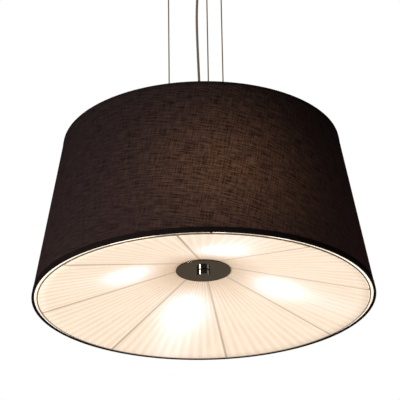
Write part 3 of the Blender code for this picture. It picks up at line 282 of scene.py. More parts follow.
def ring(radius, height, wire_radius, sides=12):
    """A ring of round wire."""
    turns = [math.tau * side / sides for side in range(sides)]
    outline = [(radius + wire_radius * math.cos(turn), height + wire_radius * math.sin(turn))
               for turn in turns]
    return turned(outline, RING_SEGMENTS)


def swept(route, radius, sides=10):
    """A round bar along a route."""
    bm = bmesh.new()
    route = [Vector(point) for point in route]
    ways = [(after - before).normalized() for before, after in zip(route, route[1:])]
    tangents = [ways[0]] + [(a + b).normalized() for a, b in zip(ways, ways[1:])] + [ways[-1]]
    turn = Vector((0, 0, 1)).rotation_difference(tangents[0])
    made = bmesh.ops.create_circle(
        bm, cap_ends=True, segments=sides, radius=radius,
        matrix=Matrix.Translation(route[0]) @ turn.to_matrix().to_4x4(),
    )
    edges = list(made["verts"][0].link_faces[0].edges)
    for index in range(1, len(route)):
        verts, edges = drawn_out(bm, edges)
        step = tangents[index - 1].rotation_difference(tangents[index]).to_matrix().to_4x4()
        bmesh.ops.transform(
            bm, verts=verts,
            matrix=Matrix.Translation(route[index]) @ step @ Matrix.Translation(-route[index - 1]),
        )
    bmesh.ops.contextual_create(bm, geom=edges)
    bmesh.ops.recalc_face_normals(bm, faces=bm.faces)
    return bm


def drawn_out(bm, edges):
    """New points and edges drawn out of a loop of edges, with the faces between them."""
    made = bmesh.ops.extrude_edge_only(bm, edges=edges)["geom"]
    verts = [item for item in made if isinstance(item, bmesh.types.BMVert)]
    kept = set(verts)
    edges = [item for item in made if isinstance(item, bmesh.types.BMEdge)
             and kept.issuperset(item.verts)]
    return verts, edges


def bar(start, end, radius):
    """A round bar with flat ends."""
    return swept([start, end], radius, 24)


def smooth_route(stations, steps):
    """Points on a smooth line through stations."""
    ends = [stations[0]] + list(stations) + [stations[-1]]
    points = []
    for before, start, end, after in zip(ends, ends[1:], ends[2:], ends[3:]):
        span = (end - start).length
        pull = (end - before).normalized() * span
        push = (after - start).normalized() * span
        for step in range(steps):
            done = step / steps
            points.append(
                start * (2 * done ** 3 - 3 * done ** 2 + 1)
                + pull * (done ** 3 - 2 * done ** 2 + done)
                + end * (3 * done ** 2 - 2 * done ** 3)
                + push * (done ** 3 - done ** 2)
            )
    points.append(stations[-1])
    return points


def line_length(points):
    """Length of a line through points."""
    return sum((after - before).length for before, after in zip(points, points[1:]))


def block(size, bevel, matrix, segments=2):
    """A rounded block."""
    bm = bmesh.new()
    made = bmesh.ops.create_cube(bm, size=1.0)["verts"]
    bmesh.ops.scale(bm, vec=size, verts=made)
    bmesh.ops.bevel(
        bm, geom=bm.edges[:], offset=bevel, segments=segments, profile=0.5, affect="EDGES",
        material=-1,
    )
    return moved(bm, matrix)


def joined(parts):
    """Several shapes in one mesh."""
    whole = parts[0]
    for part in parts[1:]:
        spare = bpy.data.meshes.new("spare")
        part.to_mesh(spare)
        whole.from_mesh(spare)
        part.free()
        bpy.data.meshes.remove(spare)
    return whole


def moved(bm, matrix):
    """The shape after a move or turn of all of it."""
    bmesh.ops.transform(bm, verts=bm.verts, matrix=matrix)
    return bm


def place_at(angle, height, radius=WIRE_CIRCLE_RADIUS):
    """A place on one of the lamp's circles."""
    return Matrix.Translation(polar(radius, angle, height))


def outward(angle, height, radius):
    """A place whose own axis points away from the lamp's axis."""
    return (place_at(angle, height, radius) @ Matrix.Rotation(math.radians(angle), 4, "Z")
            @ Matrix.Rotation(math.pi / 2, 4, "Y"))


def closed_up(bm):
    """The shape with its open edges filled."""
    bmesh.ops.holes_fill(bm, edges=[edge for edge in bm.edges if edge.is_boundary])
    bmesh.ops.recalc_face_normals(bm, faces=bm.faces)
    return bm


def cut(shape, tools):
    """A shape with the tool shapes cut out of it."""
    objects = []
    for bm in (shape, joined(tools)):
        mesh = bpy.data.meshes.new("work")
        bm.to_mesh(mesh)
        bm.free()
        objects.append(bpy.data.objects.new("work", mesh))
        bpy.context.scene.collection.objects.link(objects[-1])
    modifier = objects[0].modifiers.new("cut", "BOOLEAN")
    modifier.operation = "DIFFERENCE"
    modifier.solver = "EXACT"
    modifier.object = objects[1]
    whole = objects[0].evaluated_get(bpy.context.evaluated_depsgraph_get())
    remains = bmesh.new()
    remains.from_mesh(whole.to_mesh())
    whole.to_mesh_clear()
    for obj in objects:
        mesh = obj.data
        bpy.data.objects.remove(obj)
        bpy.data.meshes.remove(mesh)
    bmesh.ops.remove_doubles(remains, verts=remains.verts, dist=1e-6)
    return remains


def wire_holes(low, high, radius):
    """Bars for the holes that the three wires' fittings pass."""
    return [bar(polar(WIRE_CIRCLE_RADIUS, angle, low), polar(WIRE_CIRCLE_RADIUS, angle, high),
                radius) for angle in WIRE_ANGLES]


def side_holes(angles, start, end, height, radius):
    """Bars for the holes through a round wall."""
    return [bar(polar(start, angle, height), polar(end, angle, height), radius)
            for angle in angles]


def nut(centre, radius, bore):
    """A hexagon nut that stands on a point."""
    outline = [(bore, 0.0), (radius, 0.0), (radius, NUT_HEIGHT), (bore, NUT_HEIGHT)]
    return moved(rounded(outline, 0.0004, 6, 2), Matrix.Translation(centre))


def axis_nuts(levels, radius, bore):
    """Nuts on the lamp's axis."""
    return [nut(Vector((0, 0, level)), radius, bore) for level in levels]


def threaded(radius, bore, low, high, segments):
    """A threaded bar, or a threaded tube if it has a bore."""
    root = radius - TUBE_THREAD_DEPTH
    count = round((high - low) / TUBE_THREAD_PITCH)
    step = (high - low) / count
    outline = [(bore, low)]
    for tooth in range(count):
        outline += [(root, low + step * tooth), (radius, low + step * (tooth + 0.5))]
    outline += [(root, high), (bore, high)]
    return turned(outline, segments, closed=bore > 0)


def knurled(bm, radius, low, high, count, depth):
    """Fine flutes round a turned shape's rim."""
    for vert in bm.verts:
        reach = math.hypot(vert.co.x, vert.co.y)
        if abs(reach - radius) < 1e-5 and low < vert.co.z < high:
            tooth = round(math.atan2(vert.co.y, vert.co.x) / math.tau * count)
            if tooth % 2:
                vert.co.x *= 1 - depth / radius
                vert.co.y *= 1 - depth / radius
    return bm


def slotted_screw(outline, ease, segments, slot_size):
    """A screw from its outline in millimetres, with a slot across the top of its head."""
    screw = lathed(outline, ease, segments, closed=False)
    top = Matrix.Translation((0, 0, outline[-1][1] * MM))
    return cut(screw, [block(slot_size, SCREW_SLOT_BEVEL, top, segments=1)])


def lay_flat(bm, flat_point, seam=0.0):
    """Gives the shape the map that it has when it's cut open at the seam and laid flat."""
    layer = bm.loops.layers.uv.new("UVMap")
    for face in bm.faces:
        centre = face.calc_center_median()
        middle = (math.atan2(centre.y, centre.x) - seam) % math.tau
        for loop in face.loops:
            place = loop.vert.co
            turn = (math.atan2(place.y, place.x) - seam) % math.tau
            if turn - middle > math.pi:
                turn -= math.tau
            elif middle - turn > math.pi:
                turn += math.tau
            loop[layer].uv = flat_point(turn, place)
    return bm


def piece(name, bm, body, slot, finish, *replaces, sharp=35.0):
    """A finished piece that rides on its body."""
    mesh = bpy.data.meshes.new(name)
    bm.to_mesh(mesh)
    bm.free()
    mesh.shade_smooth()
    mesh.set_sharp_from_angle(angle=math.radians(sharp))
    mesh.materials.append(finish)
    obj = bpy.data.objects.new(name, mesh)
    bpy.context.scene.collection.objects.link(obj)
    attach(obj, body)
    if replaces:
        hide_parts(*replaces)
    return obj


# Material helpers

class Value:
    """A number, vector or colour in a node tree, which can be calculated with."""

    def __init__(self, socket):
        self.socket = socket

    def __add__(self, other):
        return maths("ADD", self, other)

    def __radd__(self, other):
        return maths("ADD", other, self)

    def __sub__(self, other):
        return maths("SUBTRACT", self, other)

    def __mul__(self, other):
        return maths("MULTIPLY", self, other)

    def __truediv__(self, other):
        return maths("DIVIDE", self, other)

    def __rtruediv__(self, other):
        return maths("DIVIDE", other, self)

    def __abs__(self):
        return maths("ABSOLUTE", self)


def feed(socket, value):
    """Links a value to a socket, or sets the socket to a constant."""
    if isinstance(value, Value):
        socket.id_data.links.new(value.socket, socket)
    else:
        socket.default_value = (*value, 1.0) if socket.type == "RGBA" else value


def fed_node(kind, inputs, **settings):
    """A node in the tree that its inputs come from."""
    tree = next(value.socket.id_data for value in inputs.values() if isinstance(value, Value))
    node = tree.nodes.new(kind)
    for name, value in settings.items():
        setattr(node, name, value)
    for name, value in inputs.items():
        feed(node.inputs[name], value)
    return node


def result(kind, inputs, output=0, **settings):
    """What a node makes of its inputs."""
    return Value(fed_node(kind, inputs, **settings).outputs[output])


def maths(operation, *values):
    """The result of a Math node."""
    return result("ShaderNodeMath", dict(enumerate(values)), operation=operation)


def vector_maths(operation, *values):
    """The result of a Vector Math node."""
    output = "Value" if operation in ("DISTANCE", "LENGTH", "DOT_PRODUCT") else 0
    return result("ShaderNodeVectorMath", dict(enumerate(values)), output, operation=operation)


def axes(vector):
    """The three parts of a vector."""
    return [Value(socket) for socket in fed_node("ShaderNodeSeparateXYZ", {0: vector}).outputs]


def level(place):
    """A place brought down to height zero."""
    x, y, _ = axes(place)
    return result("ShaderNodeCombineXYZ", {0: x, 1: y})


def turn_about_axis(place):
    """A place's turn about the lamp's axis."""
    x, y, _ = axes(place)
    return maths("ARCTAN2", y, x)


def mixed(share, first, second, blend="MIX"):
    """Two colours mixed by a share."""
    return result("ShaderNodeMix", {0: share, 6: first, 7: second}, 2, data_type="RGBA",
                  blend_type=blend)


def scaled(colour, share):
    """A colour times a value, without a limit."""
    return result("ShaderNodeVectorMath", {0: colour, "Scale": share}, operation="SCALE")


def ramp(value, *stops):
    """A colour ramp over a value."""
    node = fed_node("ShaderNodeValToRGB", {0: value})
    elements = node.color_ramp.elements
    while len(elements) < len(stops):
        elements.new(1.0)
    for element, (place, colour) in zip(elements, stops):
        element.position = place
        element.color = (*colour, 1.0)
    return Value(node.outputs[0])


def remap(value, low, high, to_low=0.0, to_high=1.0):
    """A value moved from one range to another, kept inside it."""
    return result("ShaderNodeMapRange", {0: value, 1: low, 2: high, 3: to_low, 4: to_high})


def bell(square):
    """A bell curve over the square of a distance."""
    return maths("EXPONENT", square * -1.0)


def noise(vector, scale, detail=2.0, roughness=0.5):
    """A noise value."""
    return result("ShaderNodeTexNoise", {"Vector": vector, "Scale": scale, "Detail": detail,
                                         "Roughness": roughness})


def stretched(vector, *scale):
    """A vector scaled on each axis."""
    return result("ShaderNodeMapping", {"Vector": vector, "Scale": scale})


def new_group(name, inputs, outputs):
    """An effect's node group, with its inputs' values and its output sockets."""
    group = bpy.data.node_groups.new(name, "ShaderNodeTree")
    new_socket = group.interface.new_socket
    new_socket("Vector", in_out="INPUT", socket_type="NodeSocketVector")
    for socket, default in inputs.items():
        made = new_socket(socket, in_out="INPUT", socket_type="NodeSocketFloat")
        made.default_value = default
    for socket in outputs:
        new_socket(socket, in_out="OUTPUT", socket_type="NodeSocketFloat")
    start = group.nodes.new("NodeGroupInput").outputs
    end = group.nodes.new("NodeGroupOutput").inputs
    return group, [Value(start[name]) for name in ("Vector", *inputs)], end


def weave_group():
    """Over and under of a plain weave, with the thick places of its threads."""
    group, (vector, pitch, slub_length, slub_width), end = new_group(
        "Plain weave", {"Pitch": 0.0008, "Slub Length": 0.04, "Slub Width": 0.003},
        ("Height", "Gaps", "Across", "Along"),
    )
    waves = [maths("COSINE", part / pitch * math.pi) for part in axes(vector)[:2]]
    feed(end["Height"], remap(waves[0] * waves[1], -1.0, 1.0))
    ridge = maths("MINIMUM", abs(waves[0]), abs(waves[1]))
    feed(end["Gaps"], remap(ridge, 0.0, 0.35, 1.0, 0.0))
    along, across = 1.0 / slub_length, 1.0 / slub_width
    for name, first, second in (("Across", along, across), ("Along", across, along)):
        scale = result("ShaderNodeCombineXYZ", {0: first, 1: second, 2: 1.0})
        streak = noise(vector_maths("MULTIPLY", vector, scale), 1.0, 3.0, 0.6)
        feed(end[name], remap(streak, 0.3, 0.7))
    return group


def marks_group():
    """Faint wipe marks and specks of handling."""
    group, (vector, size), end = new_group(
        "Handling marks", {"Size": 0.02}, ("Smudges", "Scratches", "Grain"))
    scale = 1.0 / size
    feed(end["Smudges"], remap(noise(vector, scale, 4.0, 0.6), 0.4, 0.7))
    fine = noise(stretched(vector, 1.0, 14.0, 5.0), scale * 2.0)
    feed(end["Scratches"], remap(fine, 0.62, 0.66))
    feed(end["Grain"], noise(vector, scale * 40.0, 1.0))
    return group


def braid_group():
    """Crossing strands of a braided sleeve, on the sleeve's own map."""
    group, (vector, strands, lay), end = new_group(
        "Braid", {"Strands": 8.0, "Lay": 0.01}, ("Height", "Tint"))
    x, y, _ = axes(vector)
    around, down = x * strands, y / lay * strands
    ways = [maths("SINE", maths(way, around, down) * math.pi) for way in ("ADD", "SUBTRACT")]
    cross = ways[0] * ways[1]
    feed(end["Height"], remap(abs(cross), 0.0, 0.8))
    feed(end["Tint"], remap(cross, -1.0, 1.0))
    return group


MAKERS = {"weave": weave_group, "marks": marks_group, "braid": braid_group}
GROUPS = {}


def effect(name, **inputs):
    """The outputs of a shared effect that is placed in a material."""
    if name not in GROUPS:
        GROUPS[name] = MAKERS[name]()
    inputs = {socket.replace("_", " "): value for socket, value in inputs.items()}
    node = fed_node("ShaderNodeGroup", inputs, node_tree=GROUPS[name])
    return {socket.name: Value(socket) for socket in node.outputs}


def put(shader, **inputs):
    """Sets or links the shader's inputs."""
    for socket, value in inputs.items():
        feed(shader.inputs[socket.replace("_", " ")], value)


def new_finish(name, **settings):
    """A material and its shader, with the shader's plain settings."""
    material = bpy.data.materials.new(name)
    material.use_nodes = True
    shader = material.node_tree.nodes["Principled BSDF"]
    put(shader, **settings)
    return material, shader


def coordinates(shader, kind="Object"):
    """Where a pattern lies: on the object's own axes or on the piece's map."""
    return Value(shader.id_data.nodes.new("ShaderNodeTexCoord").outputs[kind])


def bumped(shader, height, distance, strength):
    """Gives a surface its fine relief."""
    put(shader, Normal=result(
        "ShaderNodeBump", {"Height": height, "Distance": distance, "Strength": strength}))


def handled(shader, size, roughness, gain):
    """Marks of handling, which make a surface rougher where they lie."""
    marks = effect("marks", Vector=coordinates(shader), Size=size)
    put(shader, Roughness=remap(marks["Smudges"], 0.0, 1.0, roughness, roughness * gain))
    return marks


# Finishes

def shade_cloth_finish(settings):
    """Dark brown slub weave that glows where a bulb is close behind it."""
    material, shader = new_finish(
        "brown shade cloth", Roughness=1.0, Specular_IOR_Level=0.0, Emission_Strength=1.0)
    flat = coordinates(shader, "UV")
    weave = effect("weave", Vector=flat, Pitch=settings.weave_pitch,
                   Slub_Length=settings.slub_length, Slub_Width=settings.slub_width)
    streaks = weave["Across"] * 0.62 + weave["Along"] * 0.38
    base = Vector(settings.colour)
    # Painted shade in the gaps between the threads.
    dark = mixed(weave["Gaps"], base, base * 0.6)
    colour = mixed(remap(streaks, 0.25, 0.75), base * 0.38, base * 1.66)
    place = coordinates(shader)
    total = 0.0
    for angle, share in zip(BULB_ANGLES, settings.glow_shares):
        centre = polar(settings.glow_radius, angle + settings.glow_turn,
                       RIM + settings.glow_height)
        away = vector_maths("DISTANCE", place, centre) / settings.glow_reach
        total = total + bell(away * away) * share
    fine = noise(stretched(flat, 620.0, 900.0, 1.0), 1.0, 2.0, 0.7)
    grain = streaks * 0.72 + fine * 0.28
    glow = scaled(settings.glow_colour, total * remap(grain, 0.34, 0.66, 0.12, 2.08))
    wash = remap(axes(place)[2], RIM, SHADE_TOP, 1.0, 0.0)
    put(shader, Base_Color=mixed(0.35, colour, dark),
        Emission_Color=vector_maths("ADD", glow, scaled(settings.wash_colour, wash)))
    bumped(shader, weave["Height"] * 0.6 + streaks * 0.4, 0.0003, 0.6)
    return material


def tape_finish(name, settings, tape_colour):
    """Ribbed tape with a stitched line along its edge."""
    material, shader = new_finish(name, Roughness=1.0, Specular_IOR_Level=0.0)
    along, across, _ = axes(coordinates(shader, "UV"))
    ribs = maths("SINE", along * (math.tau / settings.rib_pitch))
    stitches = maths("GREATER_THAN", maths("SINE", along * (math.tau / STITCH_PITCH)), -0.35)
    thread = stitches * remap(abs(across - settings.stitch_height), 0.00018, 0.0003, 1.0, 0.0)
    cloudy = noise(coordinates(shader), 60.0, 3.0)
    base = Vector(tape_colour)
    # Painted shade: the ribs are darker in their hollows, lighter on their crests.
    plain = mixed(remap(ribs, -1.0, 1.0), base * 0.7, base * 1.2)
    plain = mixed(remap(cloudy, 0.35, 0.65, 0.0, 0.3), plain, base * 1.7)
    put(shader, Base_Color=mixed(thread, plain, base * 2.2))
    bumped(shader, ribs * 0.3 + thread, 0.0002, 0.7)
    return material


def liner_finish():
    """White laminated liner, lit by the bulbs."""
    material, shader = new_finish("white shade liner", Roughness=0.55, Emission_Strength=1.0)
    height = axes(coordinates(shader))[2]
    fibre = noise(stretched(coordinates(shader, "UV"), 60.0, 900.0, 1.0), 1.0, 3.0, 0.6)
    lit = remap(abs(height - (RIM + 0.10)), 0.0, 0.22, 1.0, 0.0)
    put(shader, Base_Color=mixed(remap(fibre, 0.3, 0.7), WHITE_ENAMEL, (0.90, 0.89, 0.86)),
        Emission_Color=ramp(lit, (0.0, (0.20, 0.15, 0.11)), (0.45, (0.36, 0.31, 0.26)),
                            (1.0, (0.52, 0.50, 0.47))))
    bumped(shader, fibre, 0.00005, 0.4)
    return material


def chiffon_finish(settings):
    """Cream pleated cloth lit from behind: bright at the bulbs, with painted spoke shadows."""
    material, shader = new_finish(
        "cream pleated chiffon", Roughness=0.8, Specular_IOR_Level=0.1, Sheen_Weight=0.1,
        Emission_Strength=1.0)
    flat = coordinates(shader, "UV")
    place = coordinates(shader)
    flat_place = level(place)
    radius = vector_maths("LENGTH", flat_place)

    # Bulbs close behind the cloth
    light = 0.0
    for angle, half, tail in zip(BULB_ANGLES, settings.spot_lengths, settings.spot_tails):
        along, across = (vector_maths("DOT_PRODUCT", flat_place, polar(1.0, way))
                         for way in (angle, angle + 90))
        along = along - settings.spot_radius
        across = across / settings.spot_width
        across = across * across
        long_way = along / half
        light = light + bell(across + long_way * long_way) * settings.spot_strength
        outwards = remap(along, -0.01, 0.05) * remap(along, 0.02, 0.16, 1.0, 0.25)
        light = light + maths("EXPONENT", across * -0.7) * outwards * tail

    # One layer of cloth between the folds, three layers at them
    pleat = maths("FRACT", axes(flat)[0])
    layers = remap(pleat, 0.38, 0.52) - remap(pleat, 0.94, 1.0) * 0.6
    wander = remap(noise(stretched(flat, 0.9, 14.0, 1.0), 1.0, 2.0), 0.3, 0.7, 0.35, 1.25)
    layers = layers * remap(radius, 0.05, 0.16, 1.2, 1.0) * wander

    # Painted shadows of the spokes behind the cloth
    spacing = math.tau / SPOKE_COUNT
    share = maths("FRACT", turn_about_axis(place) * (1 / spacing) + float(SPOKE_COUNT))
    off = abs(share - 0.5) * spacing * radius
    spoke = remap(off, settings.spoke_shadow_width * 0.35, settings.spoke_shadow_width, 1.0, 0.0)
    spoke = spoke * remap(radius, 0.06, 0.27, 0.62, 1.0)

    # Less light near the hub
    middle = ramp(remap(radius, 0.05, 0.12), (0.0, (0.64, 0.55, 0.45)),
                  (0.45, (0.885, 0.825, 0.765)), (1.0, WHITE))
    thick = Vector(settings.thick_colour)
    folded = mixed(remap(radius, 0.05, 0.15), thick * 0.84, thick)
    glow = mixed(layers, settings.thin_colour, folded)
    glow = mixed(1.0, glow, middle, "MULTIPLY")
    glow = mixed(1.0, glow, mixed(remap(light, 0.0, 1.0), BLACK, settings.spot_colour), "ADD")
    glow = mixed(spoke, glow, mixed(1.0, glow, settings.spoke_shadow_colour, "MULTIPLY"))
    base = Vector(settings.cloth_colour)
    # The cloth's own colour is painted a little darker where it lies in three layers, as painted
    # shade at the folds.
    put(shader, Base_Color=mixed(layers, base, base * 0.92), Emission_Color=glow)
    weave = effect("weave", Vector=place, Pitch=0.0004, Slub_Length=0.02, Slub_Width=0.001)
    bumped(shader, weave["Height"], 0.00005, 0.3)
    return material


def metal_finish(name, colour, roughness, marks_size=0.02, grain=0.3, **settings):
    """Metal with wipe marks, fine scratches and grain."""
    material, shader = new_finish(name, Metallic=1.0, **settings)
    marks = handled(shader, marks_size, roughness, 1.45)
    base = Vector(colour)
    dull = mixed(marks["Smudges"], base, base * 0.86)
    put(shader, Base_Color=mixed(marks["Scratches"], dull, base * 1.12))
    bumped(shader, marks["Grain"], 0.00004, grain)
    return material


def chrome_finish(name, settings, grain):
    """Black chrome."""
    return metal_finish(name, settings.disc_colour, settings.roughness, 0.05, grain,
                        Specular_Tint=settings.edge_tint)


def knob_finish(settings, face_height):
    """Black chrome with a painted brighter reflection on the knob's wall than on its face."""
    material = chrome_finish("black chrome knob", settings, 0.02)
    shader = material.node_tree.nodes["Principled BSDF"]
    # The wall's brighter colour is a painted reflection on the same chrome as the face.
    start = face_height + KNOB_WALL_START
    wall = remap(axes(coordinates(shader))[2], start, start + KNOB_WALL_BLEND)
    face = Value(shader.inputs["Base Color"].links[0].from_socket)
    put(shader, Base_Color=mixed(wall, face, settings.wall_reflection_colour))
    return material


def enamel_finish(name, colour, roughness=0.35, coat=0.3, peel=0.2, shine=0.5):
    """Sprayed enamel with its fine orange peel."""
    material, shader = new_finish(
        name, Coat_Weight=coat, Coat_Roughness=0.2, Specular_IOR_Level=shine)
    marks = handled(shader, 0.03, roughness, 1.12)
    base = Vector(colour)
    put(shader, Base_Color=mixed(marks["Smudges"], base, base * 0.93))
    bumped(shader, noise(coordinates(shader), 900.0, 1.0), 0.00006, peel)
    return material


def lit_enamel_finish():
    """White enamel close to the bulbs, which light it through."""
    material = enamel_finish("lit white enamel", WHITE_ENAMEL)
    shader = material.node_tree.nodes["Principled BSDF"]
    cloudy = noise(coordinates(shader), 30.0, 2.0)
    put(shader, Emission_Color=mixed(cloudy, (0.66, 0.62, 0.56), (0.80, 0.77, 0.72)),
        Emission_Strength=1.0)
    return material


def sleeve_finish(settings):
    """Cream cloth round the panel's ring, painted dark as the wire's shade; painted light strong
    inside, weak outside.
    """
    material, shader = new_finish(
        "cream ring sleeve", Roughness=0.9, Specular_IOR_Level=0.05, Emission_Strength=1.0)
    place = coordinates(shader)
    inwards = remap(vector_maths("LENGTH", level(place)), PANEL_RING_RADIUS - PANEL_SLEEVE_RADIUS,
                    PANEL_RING_RADIUS, 1.0, 0.0)
    # The gathers are painted darker in their hollows, as shade.
    folds = maths("SINE", turn_about_axis(place) * float(settings.pleats))
    folds = folds + noise(place, 90.0, 2.0)
    # The cream cloth is painted dark brown here, as the shade of the wire inside it.
    base = Vector(settings.sleeve_shade_colour)
    put(shader, Base_Color=mixed(remap(folds, -0.5, 1.5), base * 0.8, base * 1.15),
        Emission_Color=mixed(inwards, settings.sleeve_glow, Vector(settings.thick_colour) * 0.62))
    bumped(shader, folds, 0.0002, 0.5)
    return material


def coated_wire_finish(colour):
    """Dark brown coating on a wire, a little thicker in places."""
    material, shader = new_finish("coated panel wire", Roughness=0.7, Specular_IOR_Level=0.05)
    marks = effect("marks", Vector=coordinates(shader), Size=0.01)
    base = Vector(colour)
    put(shader, Base_Color=mixed(marks["Smudges"], base, base * 1.5))
    bumped(shader, marks["Grain"], 0.00005, 0.5)
    return material


def plastic_finish(name, colour, roughness=0.45):
    """Moulded plastic with a fine spark-eroded grain."""
    material, shader = new_finish(name)
    marks = handled(shader, 0.012, roughness, 1.25)
    base = Vector(colour)
    put(shader, Base_Color=mixed(marks["Grain"], base * 0.92, base * 1.05))
    bumped(shader, marks["Grain"], 0.00005, 0.4)
    return material


def bulb_finish():
    """Opal glass that is lit from inside."""
    material, shader = new_finish(
        "lit opal glass", Roughness=0.25, Emission_Strength=1.0, Coat_Weight=0.5,
        Coat_Roughness=0.08)
    place = coordinates(shader)
    radius = vector_maths("LENGTH", level(place))
    cloudy = noise(place, 40.0, 2.0)
    put(shader, Base_Color=mixed(cloudy, (0.92, 0.90, 0.85), (0.96, 0.94, 0.90)),
        Emission_Color=ramp(remap(radius, 0.075, 0.17), (0.0, (0.72, 0.55, 0.36)),
                            (0.35, (1.0, 0.90, 0.72)), (1.0, (1.0, 0.96, 0.86))))
    bumped(shader, cloudy, 0.0001, 0.1)
    return material


def cord_finish(settings):
    """Sleeve of the cord, braided over its core."""
    material, shader = new_finish("braided cord sleeve", Roughness=0.8, Specular_IOR_Level=0.2)
    braid = effect("braid", Vector=coordinates(shader, "UV"), Strands=8.0, Lay=0.012)
    base = Vector(settings.cord_colour)
    # Painted shade: darker between the strands, lighter on their crowns.
    colour = mixed(braid["Height"], base * 0.65, base * 1.15)
    put(shader, Base_Color=mixed(remap(braid["Tint"], 0.0, 1.0, 0.0, 0.35), colour, base * 1.4))
    bumped(shader, braid["Height"], 0.00025, 0.8)
    return material


def strand_finish(settings):
    """Steel wire of twisted strands."""
    material, shader = new_finish("twisted steel wire", Metallic=1.0, Roughness=0.38)
    braid = effect("braid", Vector=coordinates(shader, "UV"), Strands=6.0, Lay=0.014)
    base = Vector(settings.wire_colour)
    put(shader, Base_Color=mixed(braid["Tint"], base * 0.7, base * 1.2))
    bumped(shader, braid["Tint"], 0.0002, 0.7)
    return material


# Settings

def amount(name, description, default, unit="NONE", subtype="NONE"):
    return FloatProperty(name=name, description=description, default=default, unit=unit,
                         subtype=subtype, precision=5)


def length(name, description, default):
    return amount(name, description, default, unit="LENGTH")


def power(name, description, default):
    return amount(name, description, default, unit="POWER")


def share(name, description, default):
    return amount(name, description, default, subtype="FACTOR")


def colour(name, description, default):
    return FloatVectorProperty(
        name=name, description=description, default=default, subtype="COLOR", min=0.0,
        soft_max=1.0,
    )


def each_bulb(name, description, default):
    return FloatVectorProperty(name=name, description=description, default=default, size=4)


class StageSettings(bpy.types.PropertyGroup):
    """Studio around the lamp."""

    room_light: share("Room light", "Light from all sides", 0.16)
    key_power: power("Key light", "Power of the softbox at the left", 29.5)
    back_power: power("Back light", "Power of the softbox behind", 70.0)
    strip_power: power("Strip light", "Power of the strip that glossy metal shows", 360.0)
    floor_colour: colour("Floor", "Colour of the floor", (0.82, 0.82, 0.82))


class SuspensionSettings(bpy.types.PropertyGroup):
    """Cord and wires."""

    cord_diameter: length("Cord diameter", "Across the power cord's sleeve", 0.0046)
    wire_diameter: length("Wire diameter", "Across a suspension wire", 0.0025)
    cord_colour: colour("Cord", "Colour of the cord's sleeve", (0.26, 0.20, 0.15))
    wire_colour: colour("Wires", "Colour of the steel wires", (0.175, 0.115, 0.055))


class ShadeSettings(bpy.types.PropertyGroup):
    """Cloth, liner and edge tapes of the shade."""

    colour: colour("Cloth", "Colour of the outer cloth", (0.0262, 0.0166, 0.0163))
    weave_pitch: length("Weave", "Distance from thread to thread", 0.0008)
    slub_length: length("Slub length", "Length of a thread's thick place", 0.026)
    slub_width: length("Slub width", "Width of a thread's thick place", 0.0022)
    glow_colour: colour("Glow", "Light that comes through the cloth", (0.044, 0.0195, 0.0088))
    glow_height: length("Glow height", "Middle of the glow above the rim", 0.120)
    glow_radius: length("Glow radius", "Middle of the glow from the axis", 0.272)
    glow_turn: amount("Glow turn", "Degrees from a bulb to the middle of its glow", -8.0)
    glow_reach: length("Glow reach", "How far the glow spreads", 0.120)
    glow_shares: each_bulb("Glow shares", "Strength of the glow at each bulb",
                           (0.03, 0.75, 0.06, 1.0))
    wash_colour: colour("Wash", "Light through the cloth at the rim, all the way round",
                        (0.0055, 0.0024, 0.0020))
    tape_colour: colour("Bottom tape", "Colour of the bottom edge tape", (0.011, 0.0078, 0.0074))
    top_tape_colour: colour("Top tape", "Colour of the top edge tape", (0.022, 0.0145, 0.014))
    rib_pitch: length("Ribs", "Distance from rib to rib of the tape", 0.0012)
    stitch_height: length("Stitches", "Height of the stitched line on the tape", 0.0075)


class PanelSettings(bpy.types.PropertyGroup):
    """Pleated panel below the bulbs."""

    pleats: IntProperty(name="Pleats", description="Number of knife pleats", default=96)
    fold_share: share("Fold", "Share of a pleat that lies in three layers", 0.55)
    cloth_thickness: length("Cloth", "Thickness of the pleated cloth", 0.0001)
    cloth_colour: colour("Unlit cloth", "Colour of the cloth itself", (0.42, 0.37, 0.31))
    thin_colour: colour("One layer", "Light through one layer", (0.745, 0.59, 0.45))
    thick_colour: colour("Three layers", "Light through three layers", (0.67, 0.51, 0.372))
    # The sleeve's colour is painted dark, as the shade of the wire inside its cream cloth.
    sleeve_shade_colour: colour("Ring sleeve", "Colour of the cloth round the ring",
                          (0.105, 0.078, 0.055))
    sleeve_glow: colour("Ring glow", "Light on the outside of the ring's sleeve",
                        (0.062, 0.043, 0.027))
    wire_colour: colour("Frame", "Colour of the frame's coated wire", (0.045, 0.030, 0.020))
    spot_colour: colour("Bulb light", "Light that a bulb adds close behind the cloth",
                        (0.60, 0.70, 0.90))
    spot_radius: length("Bulb distance", "From the axis to the brightest place", 0.135)
    spot_width: length("Bulb light width", "Half width of a bright place", 0.034)
    spot_strength: amount("Bulb light strength", "Share of added light", 1.0)
    spot_lengths: each_bulb("Bulb light lengths", "Half length of each bright place",
                            (0.036, 0.042, 0.034, 0.040))
    spot_tails: each_bulb("Bulb light tails", "Light between each bulb and the rim",
                          (0.22, 0.50, 0.08, 0.38))
    # The spokes' shadows are painted into the panel's glow.
    spoke_shadow_width: length("Spoke line", "Half width of a spoke's shadow", 0.0030)
    spoke_shadow_colour: colour("Spoke shadow", "What a spoke leaves of the light", (0.35, 0.29, 0.24))


class FinialSettings(bpy.types.PropertyGroup):
    """Disc and knob."""

    disc_colour: colour("Chrome", "Colour of the black chrome", (0.0416, 0.0297, 0.0218))
    edge_tint: colour("Edge tint", "Tint of the chrome's grazing reflection", (0.66, 0.63, 0.59))
    # The knob wall's colour is a painted brighter reflection.
    wall_reflection_colour: colour("Knob wall", "Colour of the knob's polished wall", (0.20, 0.22, 0.25))
    roughness: share("Roughness", "Roughness of the black chrome", 0.04)


# Stage

def linked(name, data):
    """A new object in the scene."""
    obj = bpy.data.objects.new(name, data)
    bpy.context.scene.collection.objects.link(obj)
    return obj


